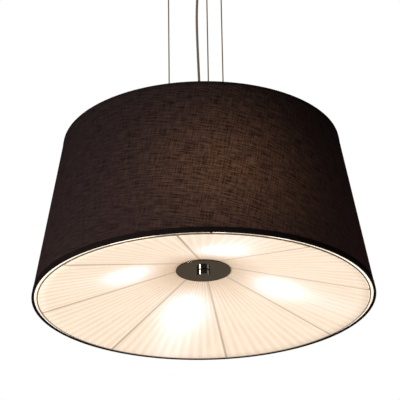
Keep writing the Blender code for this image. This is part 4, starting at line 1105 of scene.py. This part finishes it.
def seen(tree):
    """One where the camera looks, also in a mirror or through glass, and zero for other light."""
    path = tree.nodes.new("ShaderNodeLightPath").outputs
    camera, glossy, through = (
        Value(path[f"Is {way} Ray"]) for way in ("Camera", "Glossy", "Transmission"))
    return maths("MAXIMUM", camera, maths("MAXIMUM", glossy, through))


def aim_camera():
    """The camera at the place and angle fitted to the photograph."""
    forward = Vector((
        math.sin(CAMERA_YAW) * math.cos(CAMERA_PITCH),
        math.cos(CAMERA_YAW) * math.cos(CAMERA_PITCH),
        math.sin(CAMERA_PITCH),
    ))
    right = forward.cross(Vector((0, 0, 1))).normalized()
    up = right.cross(forward)
    turn = Matrix((right, up, -forward)).transposed() @ Matrix.Rotation(CAMERA_ROLL, 3, "Z")
    place = Matrix.Translation((0, -CAMERA_DISTANCE, RIM - CAMERA_DROP))
    data = bpy.data.cameras.new("camera")
    data.lens = CAMERA_LENS
    data.sensor_width = CAMERA_SENSOR
    camera = linked("camera", data)
    round_lamp = Matrix.Rotation(math.radians(CAMERA_TURN), 4, "Z")
    camera.matrix_world = round_lamp @ place @ turn.to_4x4()
    bpy.context.scene.camera = camera


def light_room(settings):
    """A white room, two softboxes, and two strips that only glossy metal shows."""
    world = bpy.data.worlds.new("studio")
    bpy.context.scene.world = world
    world.use_nodes = True
    back = world.node_tree.nodes["Background"]
    put(back, Color=WHITE,
        Strength=remap(seen(world.node_tree), 0.0, 1.0, settings.room_light, 1.0))
    strip = settings.strip_power
    for name, place, width, height, energy, for_metal in (
        ("softbox", polar(1.7, 215, -1.5), 0.9, 0.9, settings.key_power, False),
        ("back softbox", polar(4.0, 75, 0.2), 2.0, 2.0, settings.back_power, False),
        ("left strip", polar(STRIP_DISTANCE, 194.5, STRIP_HEIGHT), 1.1, 0.5, strip, True),
        ("right strip", polar(STRIP_DISTANCE, 345, STRIP_HEIGHT), 2.2, 0.3,
         strip * WEAK_STRIP_SHARE, True),
    ):
        data = bpy.data.lights.new(name, "AREA")
        data.shape = "RECTANGLE"
        data.size = width
        data.size_y = height
        data.energy = energy
        lamp = linked(name, data)
        aim = (Vector((0, 0, AIM_HEIGHT)) - place).to_track_quat("-Z", "Y")
        lamp.matrix_world = Matrix.Translation(place) @ aim.to_matrix().to_4x4()
        lamp.visible_camera = False
        lamp.visible_diffuse = not for_metal
        lamp.visible_glossy = for_metal


def lay_floor(settings):
    """A pale floor that is clear from below, so that the lamp can be seen from there."""
    bm = bmesh.new()
    bmesh.ops.create_grid(bm, x_segments=1, y_segments=1, size=FLOOR_HALF_SIZE,
                          matrix=Matrix.Translation((0, 0, FLOOR_HEIGHT)))
    mesh = bpy.data.meshes.new("floor")
    bm.to_mesh(mesh)
    bm.free()
    material, shader = new_finish("pale floor", Roughness=0.9, Specular_IOR_Level=0.1)
    tree = material.node_tree
    put(shader, Base_Color=settings.floor_colour, Emission_Color=WHITE,
        Emission_Strength=remap(seen(tree), 0.0, 1.0, 0.0, FLOOR_GLOW))
    clear = tree.nodes.new("ShaderNodeBsdfTransparent")
    side = tree.nodes.new("ShaderNodeNewGeometry").outputs["Backfacing"]
    both = result("ShaderNodeMixShader", {
        0: Value(side), 1: Value(shader.outputs[0]), 2: Value(clear.outputs[0])})
    feed(tree.nodes["Material Output"].inputs["Surface"], both)
    mesh.materials.append(material)
    floor = linked("floor", mesh)


class CHANDELIER_OT_stage(bpy.types.Operator):
    """Set the camera, the lights and the floor"""

    bl_idname = "chandelier.stage"
    bl_label = "Studio"

    def execute(self, context):
        settings = context.scene.chandelier_stage
        aim_camera()
        light_room(settings)
        lay_floor(settings)
        context.scene.view_settings.view_transform = "Standard"
        return {"FINISHED"}


# Cord and wires

def round_sleeve(route, radius, sides):
    """A tube along a route with a map round it and along it."""
    bm = swept(route, radius, sides)
    layer = bm.loops.layers.uv.new("UVMap")

    def turn_round_route(place):
        near = min(route, key=lambda point: (point - place).length)
        return math.atan2(place.y - near.y, place.x - near.x)

    for face in bm.faces:
        middle = turn_round_route(face.calc_center_median())
        for loop in face.loops:
            turn = turn_round_route(loop.vert.co)
            turn -= math.tau * round((turn - middle) / math.tau)
            loop[layer].uv = (turn / math.tau, loop.vert.co.z)
    return bm


class CHANDELIER_OT_suspension(bpy.types.Operator):
    """Build the power cord and the three suspension wires"""

    bl_idname = "chandelier.suspension"
    bl_label = "Cord and wires"

    def execute(self, context):
        settings = context.scene.chandelier_suspension
        drop = WIRE_TOP - WIRE_BOTTOM
        stations = [polar(CORD_BOW * bow, CORD_BOW_ANGLE, WIRE_TOP - drop * down)
                    for down, bow in CORD_ROUTE_SHARES]
        route = smooth_route(stations, CORD_STEPS)
        cord = piece(
            "power_cord_sleeve", round_sleeve(route, settings.cord_diameter / 2, 14), "cord",
            "cord_sheath", cord_finish(settings), "power_cord",
        )
        line_length(route)
        steel = strand_finish(settings)
        for number, angle in enumerate(WIRE_ANGLES, 1):
            line = [polar(WIRE_CIRCLE_RADIUS, angle, WIRE_TOP - drop * step / WIRE_STEPS)
                    for step in range(WIRE_STEPS + 1)]
            wire = piece(
                f"steel_wire_{number}", round_sleeve(line, settings.wire_diameter / 2, 10),
                f"wire_{number}", "wire_steel", steel, f"suspension_wire_{number}",
            )
        return {"FINISHED"}


# Shade

def skin(inset, thickness, bottom=SKIN_BOTTOM, top=SKIN_TOP):
    """A thin cone wall between two heights."""
    levels = [bottom + (top - bottom) * row / SKIN_ROWS for row in range(SKIN_ROWS + 1)]
    outline = [(cone_radius(height) - depth * CONE_STRETCH_SHARE, RIM + height)
               for depth, side in ((inset, levels), (inset + thickness, levels[::-1]))
               for height in side]
    return turned(outline, RING_SEGMENTS)


def cut_point(turn, place):
    """A point of the cone on its flat cut, in metres."""
    slant = math.hypot(place.x, place.y) / CONE_SLANT_SHARE
    lean = (turn - math.pi) * CONE_SLANT_SHARE
    return (slant * math.sin(lean), slant * math.cos(lean))


def cut_size(inset):
    """Width, length and area of the cone's flat cut."""
    low, high = ((cone_radius(height) - inset) / CONE_SLANT_SHARE
                 for height in (SKIN_BOTTOM, SKIN_TOP))
    half = math.pi * CONE_SLANT_SHARE
    return 2 * low * math.sin(half), low - high * math.cos(half), half * (low ** 2 - high ** 2)


def seam_lap(seam):
    """The strip of cloth that laps over the seam, between the tapes."""
    lap = skin(CLOTH_INSET - SEAM_THICKNESS, SEAM_THICKNESS, TAPE_LAP + SEAT_GAP,
               SHADE_HEIGHT - TOP_TAPE_LAP - SEAT_GAP)
    for side, keep_left in ((-SEAM_HALF_ANGLE, True), (SEAM_HALF_ANGLE, False)):
        bmesh.ops.bisect_plane(
            lap, geom=lap.verts[:] + lap.edges[:] + lap.faces[:], plane_co=(0, 0, 0),
            plane_no=polar(1.0, SEAM_ANGLE + side + 90), clear_inner=keep_left,
            clear_outer=not keep_left,
        )
    far_side = [vert for vert in lap.verts if vert.co.x < 0]
    bmesh.ops.delete(lap, geom=far_side, context="VERTS")
    return lay_flat(closed_up(lap), cut_point, seam + math.radians(SEAM_WEAVE_SHIFT))


def tape_outline(at_top):
    """Outline of an edge tape, folded round its ring wire."""
    if at_top:
        edge, way, lap, inside = SHADE_HEIGHT, -1, TOP_TAPE_LAP, TOP_RING_RADIUS - TOP_WIRE_RADIUS
    else:
        edge, way, lap, inside = 0.0, 1, TAPE_LAP, BOTTOM_RING_RADIUS - BOTTOM_WIRE_RADIUS
    lap = edge + way * lap
    inner_lap = edge + way * TAPE_INNER_LAP
    inside -= SEAT_GAP
    wall = TAPE_THICKNESS * CONE_STRETCH_SHARE
    fold = edge + way * TAPE_THICKNESS
    outer = [
        (cone_radius(lap), lap), (cone_radius(edge), edge), (inside - TAPE_THICKNESS, edge),
        (inside - TAPE_THICKNESS, inner_lap),
    ]
    hollow = [
        (inside, inner_lap), (inside, fold), (cone_radius(edge) - wall, fold),
        (cone_radius(lap) - wall, lap),
    ]
    points = eased(outer, 0.0007) + eased(hollow, 0.0004)
    return [(radius, RIM + height) for radius, height in points]


def tape_point(turn, place):
    """A point of a tape along and across it."""
    return (turn * (BOTTOM_RADIUS + TOP_RADIUS) / 2,
            min(abs(place.z - RIM), abs(SHADE_TOP - place.z)))


class CHANDELIER_OT_shade(bpy.types.Operator):
    """Build the cloth, the liner and the edge tapes of the shade"""

    bl_idname = "chandelier.shade"
    bl_label = "Shade"

    def execute(self, context):
        settings = context.scene.chandelier_shade
        seam = math.radians(SEAM_ANGLE)
        finish = shade_cloth_finish(settings)
        shape = lay_flat(skin(CLOTH_INSET, CLOTH_THICKNESS), cut_point, seam)
        cloth = piece("shade_cloth", shape, "lamp", "brown_cloth", finish, "shade_fabric")
        lap = piece("cloth_lap", seam_lap(seam), "lamp", "brown_cloth", finish)
        shape = lay_flat(skin(LINER_INSET, LINER_THICKNESS), cut_point, seam)
        liner = piece("white_liner", shape, "lamp", "white_liner", liner_finish(), "shade_liner")
        hems = []
        for place, at_top, tape_colour in (
            ("bottom", False, settings.tape_colour), ("top", True, settings.top_tape_colour),
        ):
            shape = lay_flat(turned(tape_outline(at_top), RING_SEGMENTS), tape_point, seam)
            finish = tape_finish(f"{place} ribbed tape", settings, tape_colour)
            hems.append(
                piece(f"{place}_tape", shape, "lamp", "dark_tape", finish, f"{place}_hem"))
        end_place = (Matrix.Rotation(math.radians(TAPE_END_ANGLE), 4, "Z")
                     @ Matrix.Translation((TAPE_END_RADIUS, 0, RIM - TAPE_END_DROP)))
        tab = block(TAPE_END_SIZE, 0.0003, end_place)
        hems.append(piece("tape_end", tab, "lamp", "dark_tape", hems[0].data.materials[0]))
        for sheet, inset, extra in ((cloth, CLOTH_INSET, [lap] + hems), (liner, LINER_INSET, [])):
            width, length_cut, area = cut_size(inset)
        return {"FINISHED"}


def hub(bore, radius, low, segments):
    """A round plate with a bore."""
    high = low + PLATE_THICKNESS
    outline = [(bore, low), (radius, low), (radius, high), (bore, high)]
    return rounded(outline, 0.0006, segments, 2)


class CHANDELIER_OT_frame(bpy.types.Operator):
    """Build the wire rings of the shade, with the arms and hub of the upper one"""

    bl_idname = "chandelier.frame"
    bl_label = "Shade frame"

    def execute(self, context):
        white = enamel_finish("white frame enamel", WHITE_ENAMEL)
        bottom = ring(BOTTOM_RING_RADIUS, RIM + BOTTOM_RING_HEIGHT, BOTTOM_WIRE_RADIUS)
        piece("bottom_ring_wire", bottom, "lamp", "white_enamel", lit_enamel_finish(),
              "bottom_ring")
        parts = [ring(TOP_RING_RADIUS, RIM + TOP_RING_HEIGHT, TOP_WIRE_RADIUS),
                 hub(0.0075, 0.024, TOP_HUB_LOW, 64)]
        hub_middle = TOP_HUB_LOW + PLATE_THICKNESS / 2
        for angle in ARM_ANGLES:
            corners = [polar(radius, angle, hub_middle + rise) for radius, rise in ARM_LINE]
            corners.append(polar(TOP_RING_RADIUS - 0.002, angle, RIM + TOP_RING_HEIGHT))
            parts.append(swept(smooth_route(corners, 6), ARM_RADIUS, 12))
        piece("top_ring_wire", joined(parts), "lamp", "white_enamel", white, "top_ring_frame")
        return {"FINISHED"}


# Panel

def pleat_depth(radius):
    """Half the height of a pleat at a distance from the axis."""
    done = (radius - PANEL_INNER_RADIUS) / PANEL_WIDTH
    return PLEAT_INNER_DEPTH + (PLEAT_DEPTH - PLEAT_INNER_DEPTH) * done


def pleat_shift(pleat):
    """How far a pleat's middle lies off its place, as hand-laid pleats do."""
    return 0.07 * math.sin(2.4 * pleat) + 0.05 * math.sin(5.1 * pleat + 1.0)


def pleated_sheet(settings):
    """Knife pleats round the panel, drawn in from the rim to the hub."""
    bend = 1 - settings.fold_share
    path = (  # share of the pleat's width, and height in pleat depths
        (0.0, -0.2), (0.3, -0.46), (0.62, -0.72), (0.97, -0.98), (1.012, -0.9), (1.0, -0.66),
        (bend + 0.2, -0.32), (bend + 0.012, -0.14), (bend - 0.01, 0.06), (bend + 0.012, 0.22),
        (0.8, 0.0),
    )
    radii = [PANEL_OUTER_RADIUS - PANEL_WIDTH * row / PANEL_ROWS for row in range(PANEL_ROWS + 1)]
    bm = bmesh.new()
    first = []
    for pleat in range(settings.pleats):
        for done, rise in path:
            shift = pleat_shift(pleat) * math.sin(math.pi * min(done, 1.0))
            angle = 360 * (pleat + done + shift) / settings.pleats
            height = panel_height(radii[0]) + rise * pleat_depth(radii[0])
            first.append(bm.verts.new(polar(radii[0], angle, height)))
    edges = [bm.edges.new(pair) for pair in zip(first, first[1:] + first[:1])]
    for before, after in zip(radii, radii[1:]):
        verts, edges = drawn_out(bm, edges)
        thin = pleat_depth(after) / pleat_depth(before)
        bmesh.ops.transform(
            bm, verts=verts,
            matrix=Matrix.Translation((0, 0, panel_height(after)))
            @ Matrix.Diagonal((after / before, after / before, thin, 1.0))
            @ Matrix.Translation((0, 0, -panel_height(before))),
        )
    return bm


class CHANDELIER_OT_panel(bpy.types.Operator):
    """Build the pleated panel and its wire frame"""

    bl_idname = "chandelier.panel"
    bl_label = "Pleated panel"

    def execute(self, context):
        settings = context.scene.chandelier_panel
        sheet = pleated_sheet(settings)
        area = sum(face.calc_area() for face in sheet.faces)
        lay_flat(sheet, lambda turn, place: (
            turn * settings.pleats / math.tau, math.hypot(place.x, place.y)))
        cloth = piece("pleated_cloth", sheet, "panel", "chiffon", chiffon_finish(settings),
                      "diffuser_fabric", sharp=80.0)
        wall = cloth.modifiers.new("cloth", "SOLIDIFY")
        wall.thickness = settings.cloth_thickness
        wall.offset = 0.0

        parts = [ring(PANEL_RING_RADIUS, PANEL_RING_HEIGHT, PANEL_WIRE_RADIUS),
                 hub(0.0056, 0.046, heights("diffuser_frame")[1] - PLATE_THICKNESS, 96)]
        for number in range(SPOKE_COUNT):
            angle = 360 * (number + 0.5) / SPOKE_COUNT
            route = [polar(radius, angle, panel_height(radius) + SPOKE_RISE)
                     for radius in SPOKE_STATIONS]
            route.append(polar(PANEL_RING_RADIUS - SPOKE_OVERLAP, angle,
                               PANEL_RING_HEIGHT + SPOKE_OVERLAP))
            parts.append(swept(smooth_route(route, 3), SPOKE_RADIUS))
        piece("panel_wire_frame", joined(parts), "panel", "panel_wire",
              coated_wire_finish(settings.wire_colour), "diffuser_frame")
        sleeve = ring(PANEL_RING_RADIUS, PANEL_RING_HEIGHT, PANEL_SLEEVE_RADIUS, 20)
        piece("panel_ring_sleeve", sleeve, "panel", "chiffon", sleeve_finish(settings))
        return {"FINISHED"}


# Finial

class CHANDELIER_OT_finial(bpy.types.Operator):
    """Build the disc and the knob below the panel"""

    bl_idname = "chandelier.finial"
    bl_label = "Disc and knob"

    def execute(self, context):
        settings = context.scene.chandelier_finial
        low, high = heights("finial_disc")
        outline = [(0.0054, low), (0.0486, low), (0.0486, high), (0.0054, high)]
        shape = turned(braced(eased(outline, 0.0007, 4, True), 0.0004, True), 128)
        disc = piece("chrome_disc", shape, "disc", "black_chrome",
                     chrome_finish("black chrome", settings, 0.03), "finial_disc")
        low, high = heights("finial_knob")
        low += KNOB_SHORT
        outline = [
            (0.0, low), (0.01135, low), (0.01175, low + 0.0004), (0.01175, high - 0.0006),
            (0.0112, high - 0.0003), (0.0112, high), (0.0054, high), (0.0054, low + 0.002),
            (0.0, low + 0.002),
        ]
        shape = turned(braced(eased(outline, 0.00025, 3), 0.0003), 96, closed=False)
        knob = piece("chrome_knob", shape, "knob", "black_chrome", knob_finish(settings, low),
                     "finial_knob")
        glossy = bpy.data.collections.new("black chrome pieces")
        for item in (disc, knob):
            glossy.objects.link(item)
        for name in ("left strip", "right strip"):
            bpy.data.objects[name].light_linking.receiver_collection = glossy
        return {"FINISHED"}


# Canopy

class CHANDELIER_OT_canopy(bpy.types.Operator):
    """Build the canopy's cup, screws, wire grips and cord gland"""

    bl_idname = "chandelier.canopy"
    bl_label = "Canopy"

    def execute(self, context):
        nickel = metal_finish("satin nickel", (0.62, 0.60, 0.57), 0.22, 0.01)
        enamel = enamel_finish("black canopy enamel", (0.026, 0.024, 0.023), roughness=0.5,
                               coat=0.0, peel=0.04, shine=0.22)
        black = plastic_finish("black thermoplastic", (0.02, 0.02, 0.02))
        floor = heights("canopy_cup")[0]
        inner = CUP_RADIUS - CUP_WALL
        outside = [(CUP_RADIUS, 0.0), (CUP_RADIUS, floor), (NECK_HOLE_RADIUS, floor)]
        inside = [(NECK_HOLE_RADIUS, floor + CUP_WALL), (inner, floor + CUP_WALL), (inner, 0.0)]
        cup = turned(eased(outside, CUP_FILLET, 8) + eased(inside, CUP_FILLET - CUP_WALL, 8), 96)
        holes = wire_holes(floor - 0.001, floor + 0.002, NECK_HOLE_RADIUS)
        holes += side_holes((0, 180), CUP_RADIUS - 0.002, CUP_RADIUS + 0.001, -SIDE_SCREW_DEPTH,
                            0.0023)
        piece("cup_shell", cut(cup, holes), "canopy", "canopy_enamel", enamel, "canopy_cup")

        for number, angle in enumerate((180, 0), 1):
            screw = slotted_screw([
                (0, -5), (1.7, -5), (1.7, 0), (4, 0), (4, 0.9), (3, 2.1), (1.2, 2.5), (0, 2.5),
            ], 0.3, 40, (0.0008, 0.0090, 0.0016))
            screw = moved(screw, outward(angle, -SIDE_SCREW_DEPTH, CUP_RADIUS + SEAT_GAP))
            piece(f"side_screw_{number}", screw, "canopy", "nickel", nickel,
                  f"canopy_screw_{number}")

        seat = floor - SEAT_GAP
        nut_seat = floor + CUP_WALL + SEAT_GAP
        for number, angle in enumerate(WIRE_ANGLES, 1):
            grip = lathed([
                (WIRE_BORE, 10.5), (5, 10.5), (5, 0), (7, 0), (7, -3), (5, -3.6), (5, -12),
                (4.6, -12.6), (5, -13.2), (5, -16), (3.3, -16), (3.3, -8.7), (WIRE_BORE, -8.7),
            ], 0.3, 60)
            grip = knurled(grip, 0.0070, -0.0029, -0.0001, FINE_FLUTES, 0.00025)
            parts = [moved(grip, place_at(angle, seat)),
                     nut(polar(WIRE_CIRCLE_RADIUS, angle, nut_seat), 0.0092, 0.0049)]
            piece(f"wire_grip_{number}", joined(parts), "canopy", "nickel", nickel,
                  f"cable_grip_{number}")
            nose = lathed([
                (WIRE_BORE, 4.3), (3, 4.3), (3, -4.5), (3.8, -4.7), (3.8, -5.7),
                (WIRE_BORE, -5.7),
            ], 0.3, 40)
            nose = moved(nose, place_at(angle, seat - 0.0160))
            piece(f"grip_nose_{number}", nose, f"nozzle_{number}", "nickel", nickel,
                  f"grip_nozzle_{number}")

        bore = context.scene.chandelier_suspension.cord_diameter / 2 + SEAT_GAP
        foot = WIRE_TOP + SEAT_GAP
        gland = rounded([
            (bore, seat + 0.0070), (NECK_RADIUS, seat + 0.0070), (NECK_RADIUS, seat),
            (0.0090, seat), (0.0090, seat - 0.0040), (0.0080, seat - 0.0046),
            (0.0075, seat - 0.0070), (0.0045, foot), (bore, foot),
        ], 0.0005, 60)
        gland = knurled(gland, 0.0090, seat - 0.0035, seat - 0.0005, FINE_FLUTES, 0.0003)
        parts = [gland] + axis_nuts([nut_seat], 0.0092, 0.0049)
        piece("cord_gland", joined(parts), "canopy", "black_plastic", black, "canopy_gland")
        return {"FINISHED"}


# Column

class CHANDELIER_OT_column(bpy.types.Operator):
    """Build the carrier plate, its anchors, the column and the bulb cluster"""

    bl_idname = "chandelier.column"
    bl_label = "Column"

    def execute(self, context):
        zinc = metal_finish("bright zinc", (0.56, 0.57, 0.58), 0.32)
        nickel = bpy.data.materials["satin nickel"]
        black = bpy.data.materials["black thermoplastic"]
        white = enamel_finish("white lamp enamel", WHITE_ENAMEL)
        plastic = plastic_finish("white thermoplastic", (0.80, 0.80, 0.78))
        below = SEAT_GAP + NUT_HEIGHT  # from a plate's underside to the foot of a nut below it

        rim, top = heights("carrier_plate")
        under = top - PLATE_THICKNESS
        plate = rounded([
            (0.0069, top), (0.0720, top), (0.0720, rim), (0.0700, rim), (0.0700, under),
            (0.0069, under),
        ], 0.0009, 96, 4)
        piece("carrier_disc", cut(plate, wire_holes(top - 0.003, top + 0.001, 0.0039)), "lamp",
              "zinc_steel", zinc, "carrier_plate")
        for number, angle in enumerate(WIRE_ANGLES, 1):
            anchor = lathed([
                (WIRE_BORE, 12), (5, 12), (5, 10.5), (4.6, 10), (5, 9.5), (5, 0), (3.6, 0),
                (3.6, -6), (2.5, -6), (2.5, 8), (WIRE_BORE, 8),
            ], 0.4, 60)
            anchor = knurled(anchor, 0.0050, 0.0005, 0.0090, FINE_FLUTES, 0.0002)
            parts = [moved(anchor, place_at(angle, top + SEAT_GAP)),
                     nut(polar(WIRE_CIRCLE_RADIUS, angle, under - below), 0.0065, 0.0035)]
            piece(f"anchor_{number}", joined(parts), "lamp", "nickel", nickel,
                  f"wire_anchor_{number}")

        low, high = heights("column_tube")
        cluster_low, cluster_top = heights("cluster_body")
        parts = [threaded(0.0065, 0.0047, low, high, 32)]
        parts += axis_nuts((
            top + SEAT_GAP, under - below, TOP_HUB_LOW + PLATE_THICKNESS + SEAT_GAP,
            TOP_HUB_LOW - below, cluster_top + SEAT_GAP, cluster_top - CLUSTER_WALL - below,
        ), 0.011, 0.0062)
        piece("threaded_tube", joined(parts), "lamp", "zinc_steel", zinc, "column_tube")
        bore = context.scene.chandelier_suspension.cord_diameter / 2 + SEAT_GAP
        flange = high + SEAT_GAP
        gland_top = heights("lamp_gland")[1]
        gland = rounded([
            (bore, gland_top), (0.0045, gland_top), (0.0075, flange + 0.0018), (0.0075, flange),
            (0.0043, flange), (0.0043, flange - 0.006), (bore, flange - 0.006),
        ], 0.0003, 48)
        piece("column_gland", gland, "lamp", "black_plastic", black, "lamp_gland")

        inner = CLUSTER_RADIUS - CLUSTER_WALL
        roof = cluster_top - CLUSTER_WALL
        body = rounded([
            (0.0068, cluster_top), (CLUSTER_RADIUS, cluster_top), (CLUSTER_RADIUS, cluster_low),
            (inner, cluster_low), (inner, roof), (0.0068, roof),
        ], 0.0009, 96, 4)
        screws_at = cluster_low + 0.004
        holes = side_holes(BULB_ANGLES, 0.037, 0.042, BULB_AXIS_HEIGHT, NECK_HOLE_RADIUS)
        holes += side_holes(COVER_SCREW_ANGLES, 0.037, 0.042, screws_at, 0.0016)
        piece("cluster_drum", cut(body, holes), "lamp", "white_enamel", white, "cluster_body")
        cover_low, high = heights("cluster_cover")
        cover_top = cover_low + COVER_WALL
        parts = [rounded([
            (0.0053, cover_low), (0.0410, cover_low), (0.0410, cover_top), (0.0385, cover_top),
            (0.0385, high), (0.0375, high), (0.0375, cover_top), (0.0053, cover_top),
        ], 0.0004, 96)]
        for angle in COVER_SCREW_ANGLES:
            screw = slotted_screw([
                (0, -3.8), (1.3, -3.8), (1.3, 0), (2.6, 0), (2.6, 0.6), (1.8, 1.3), (0, 1.5),
            ], 0.2, 24, (0.0006, 0.0060, 0.0010))
            parts.append(moved(screw, outward(angle, screws_at, CLUSTER_RADIUS + SEAT_GAP)))
        piece("cluster_lid", joined(parts), "lamp", "white_enamel", white, "cluster_cover")

        for number, angle in enumerate(BULB_ANGLES, 1):
            holder = lathed([
                (2, -6), (5, -6), (5, 0.3), (12, 0.3), (12.5, 3), (18.5, 13), (19.5, 15),
                (19.5, 27), (18.6, 27.6), (18.6, 28.6), (19.5, 29.2), (19.5, 44), (19, 48),
                (16.5, 48), (14.5, 44), (14.5, 21), (2, 21),
            ], 0.4, 96)
            holder = knurled(holder, 0.0195, 0.0295, 0.0435, 96, 0.0004)
            holder = moved(holder, outward(angle, BULB_AXIS_HEIGHT, CLUSTER_RADIUS))
            piece(f"screw_holder_{number}", holder, "lamp", "white_plastic", plastic,
                  f"lampholder_{number}")

        low, high = heights("threaded_rod")
        parts = [threaded(0.005, 0.0, low, high, 24)]
        parts += axis_nuts((heights("diffuser_frame")[1] + SEAT_GAP, cover_low - below,
                            cover_top + SEAT_GAP), 0.0092, 0.0047)
        piece("rod_with_nuts", joined(parts), "lamp", "zinc_steel", zinc, "threaded_rod")
        return {"FINISHED"}


# Bulbs, with outlines in millimetres from the bulb's foot

GLASS_STATIONS = (
    (11.4, 10), (11.4, 26.5), (15, 31.2), (20, 39.2), (26.2, 53), (29.6, 68), (29.6, 79),
    (26.2, 91.5), (19, 100.3), (10, 104.3), (0, 105.5),
)
GLASS_WALL = 0.001
CAP_FOOT = ((0, 0), (4.6, 0), (4.8, 1.4), (10.5, 4.8), (12.6, 6.6))
CAP_INSIDE = (
    (13.0, 26.2), (12.8, 26.5), (12.1, 26.5), (11.9, 7.6), (4.8, 2.5), (0, 2.5),
)
THREAD_RADIUS = 13.2
THREAD_DEPTH = 0.7
THREAD_START = 7.5
THREAD_LENGTH = 16.5
THREAD_TURNS = 5
THREAD_STEPS = 30


def thinned(outline, wall):
    """The inside of a thin wall from its outside."""
    points = [Vector(point) for point in outline]
    inner = []
    for before, point, after in zip(points[:1] + points, points, points[1:] + points[-1:]):
        way = (after - before).normalized()
        inner.append((max(point.x - wall * abs(way.y), 0.0), point.y - wall * abs(way.x)))
    inner[-1] = (0.0, points[-1].y - wall)
    return inner[::-1]


def cap_outline():
    """Outline of a screw cap with its rolled thread."""
    waves = []
    for step in range(THREAD_STEPS + 1):
        done = step / THREAD_STEPS
        dip = THREAD_DEPTH * (0.5 - 0.5 * math.cos(done * THREAD_TURNS * math.tau))
        waves.append((THREAD_RADIUS - dip, THREAD_START + done * THREAD_LENGTH))
    return eased(in_metres(CAP_FOOT), 0.0004) + in_metres((*waves, *CAP_INSIDE))


class CHANDELIER_OT_bulbs(bpy.types.Operator):
    """Build the four bulbs with their screw caps"""

    bl_idname = "chandelier.bulbs"
    bl_label = "Bulbs"

    def execute(self, context):
        opal = bulb_finish()
        tin = metal_finish("tin cap", (0.70, 0.68, 0.64), 0.3, 0.01)
        stations = [Vector((radius, 0.0, height)) for radius, height in in_metres(GLASS_STATIONS)]
        outer = [(max(point.x, 0.0), point.z) for point in smooth_route(stations, 4)]
        for number, angle in enumerate(BULB_ANGLES, 1):
            place = outward(angle, BULB_AXIS_HEIGHT, BULB_RADIUS)
            glass = turned(outer + thinned(outer, GLASS_WALL), 64, closed=False)
            piece(f"glass_{number}", closed_up(moved(glass, place)), f"bulb_{number}",
                  "opal_glass", opal, f"bulb_glass_{number}")
            cap = moved(turned(cap_outline(), 64, closed=False), place)
            piece(f"screw_cap_{number}", cap, f"bulb_{number}", "cap_metal", tin,
                  f"bulb_cap_{number}")
        return {"FINISHED"}


# Parts that keep their own shape

class CHANDELIER_OT_hardware(bpy.types.Operator):
    """Give the parts that keep their own shape their finishes"""

    bl_idname = "chandelier.hardware"
    bl_label = "Hardware"

    def execute(self, context):
        zinc = bpy.data.materials["bright zinc"]
        steel = metal_finish("steel wire", (0.40, 0.37, 0.34), 0.35, 0.01)
        tin = bpy.data.materials["tin cap"]
        plastic = bpy.data.materials["white thermoplastic"]
        sheath = plastic_finish("brown cord sheath", (0.13, 0.10, 0.085), 0.6)
        starts = (
            ("ceiling_bracket", zinc), ("wire_tail", steel), ("wire_ferrule", tin),
            ("cord_end", sheath), ("column_cord", sheath), ("terminal_block", plastic),
            ("splice_block", plastic),
            ("lead_live", plastic_finish("brown insulation", (0.20, 0.08, 0.03))),
            ("lead_neutral", plastic_finish("blue insulation", (0.03, 0.12, 0.45))),
            ("lead_earth", plastic_finish("green insulation", (0.10, 0.40, 0.08))),
        )
        for name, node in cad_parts.items():
            if node.hide_render:
                continue
            finish = next((finish for start, finish in starts if name.startswith(start)), None)
            if finish is None:
                raise RuntimeError(f"no finish for {name}")
            for material_slot in node.material_slots:
                material_slot.material = finish
        return {"FINISHED"}


class CHANDELIER_PT_sidebar(bpy.types.Panel):
    """Steps of the chandelier in their order"""

    bl_idname = "CHANDELIER_PT_sidebar"
    bl_label = "Drum chandelier"
    bl_space_type = "VIEW_3D"
    bl_region_type = "UI"
    bl_category = "Chandelier"

    def draw(self, context):
        for operator in OPERATORS:
            self.layout.operator(operator.bl_idname)
        for group, holder in SETTINGS:
            box = self.layout.box()
            box.label(text=group.__doc__)
            for name in group.__annotations__:
                box.prop(getattr(context.scene, holder), name)


SETTINGS = (
    (StageSettings, "chandelier_stage"),
    (SuspensionSettings, "chandelier_suspension"),
    (ShadeSettings, "chandelier_shade"),
    (PanelSettings, "chandelier_panel"),
    (FinialSettings, "chandelier_finial"),
)
OPERATORS = (
    CHANDELIER_OT_stage,
    CHANDELIER_OT_suspension,
    CHANDELIER_OT_frame,
    CHANDELIER_OT_shade,
    CHANDELIER_OT_panel,
    CHANDELIER_OT_finial,
    CHANDELIER_OT_canopy,
    CHANDELIER_OT_column,
    CHANDELIER_OT_bulbs,
    CHANDELIER_OT_hardware,
)


def register():
    for group, holder in SETTINGS:
        bpy.utils.register_class(group)
        setattr(bpy.types.Scene, holder, PointerProperty(type=group))
    for operator in OPERATORS:
        bpy.utils.register_class(operator)
    bpy.utils.register_class(CHANDELIER_PT_sidebar)


def unregister():
    bpy.utils.unregister_class(CHANDELIER_PT_sidebar)
    for operator in reversed(OPERATORS):
        bpy.utils.unregister_class(operator)
    for group, holder in reversed(SETTINGS):
        delattr(bpy.types.Scene, holder)
        bpy.utils.unregister_class(group)


def main():
    register()
    bpy.ops.chandelier.stage()
    bpy.ops.chandelier.suspension()
    bpy.ops.chandelier.frame()
    bpy.ops.chandelier.shade()
    bpy.ops.chandelier.panel()
    bpy.ops.chandelier.finial()
    bpy.ops.chandelier.canopy()
    bpy.ops.chandelier.column()
    bpy.ops.chandelier.bulbs()
    bpy.ops.chandelier.hardware()


if __name__ == "__main__":
    main()
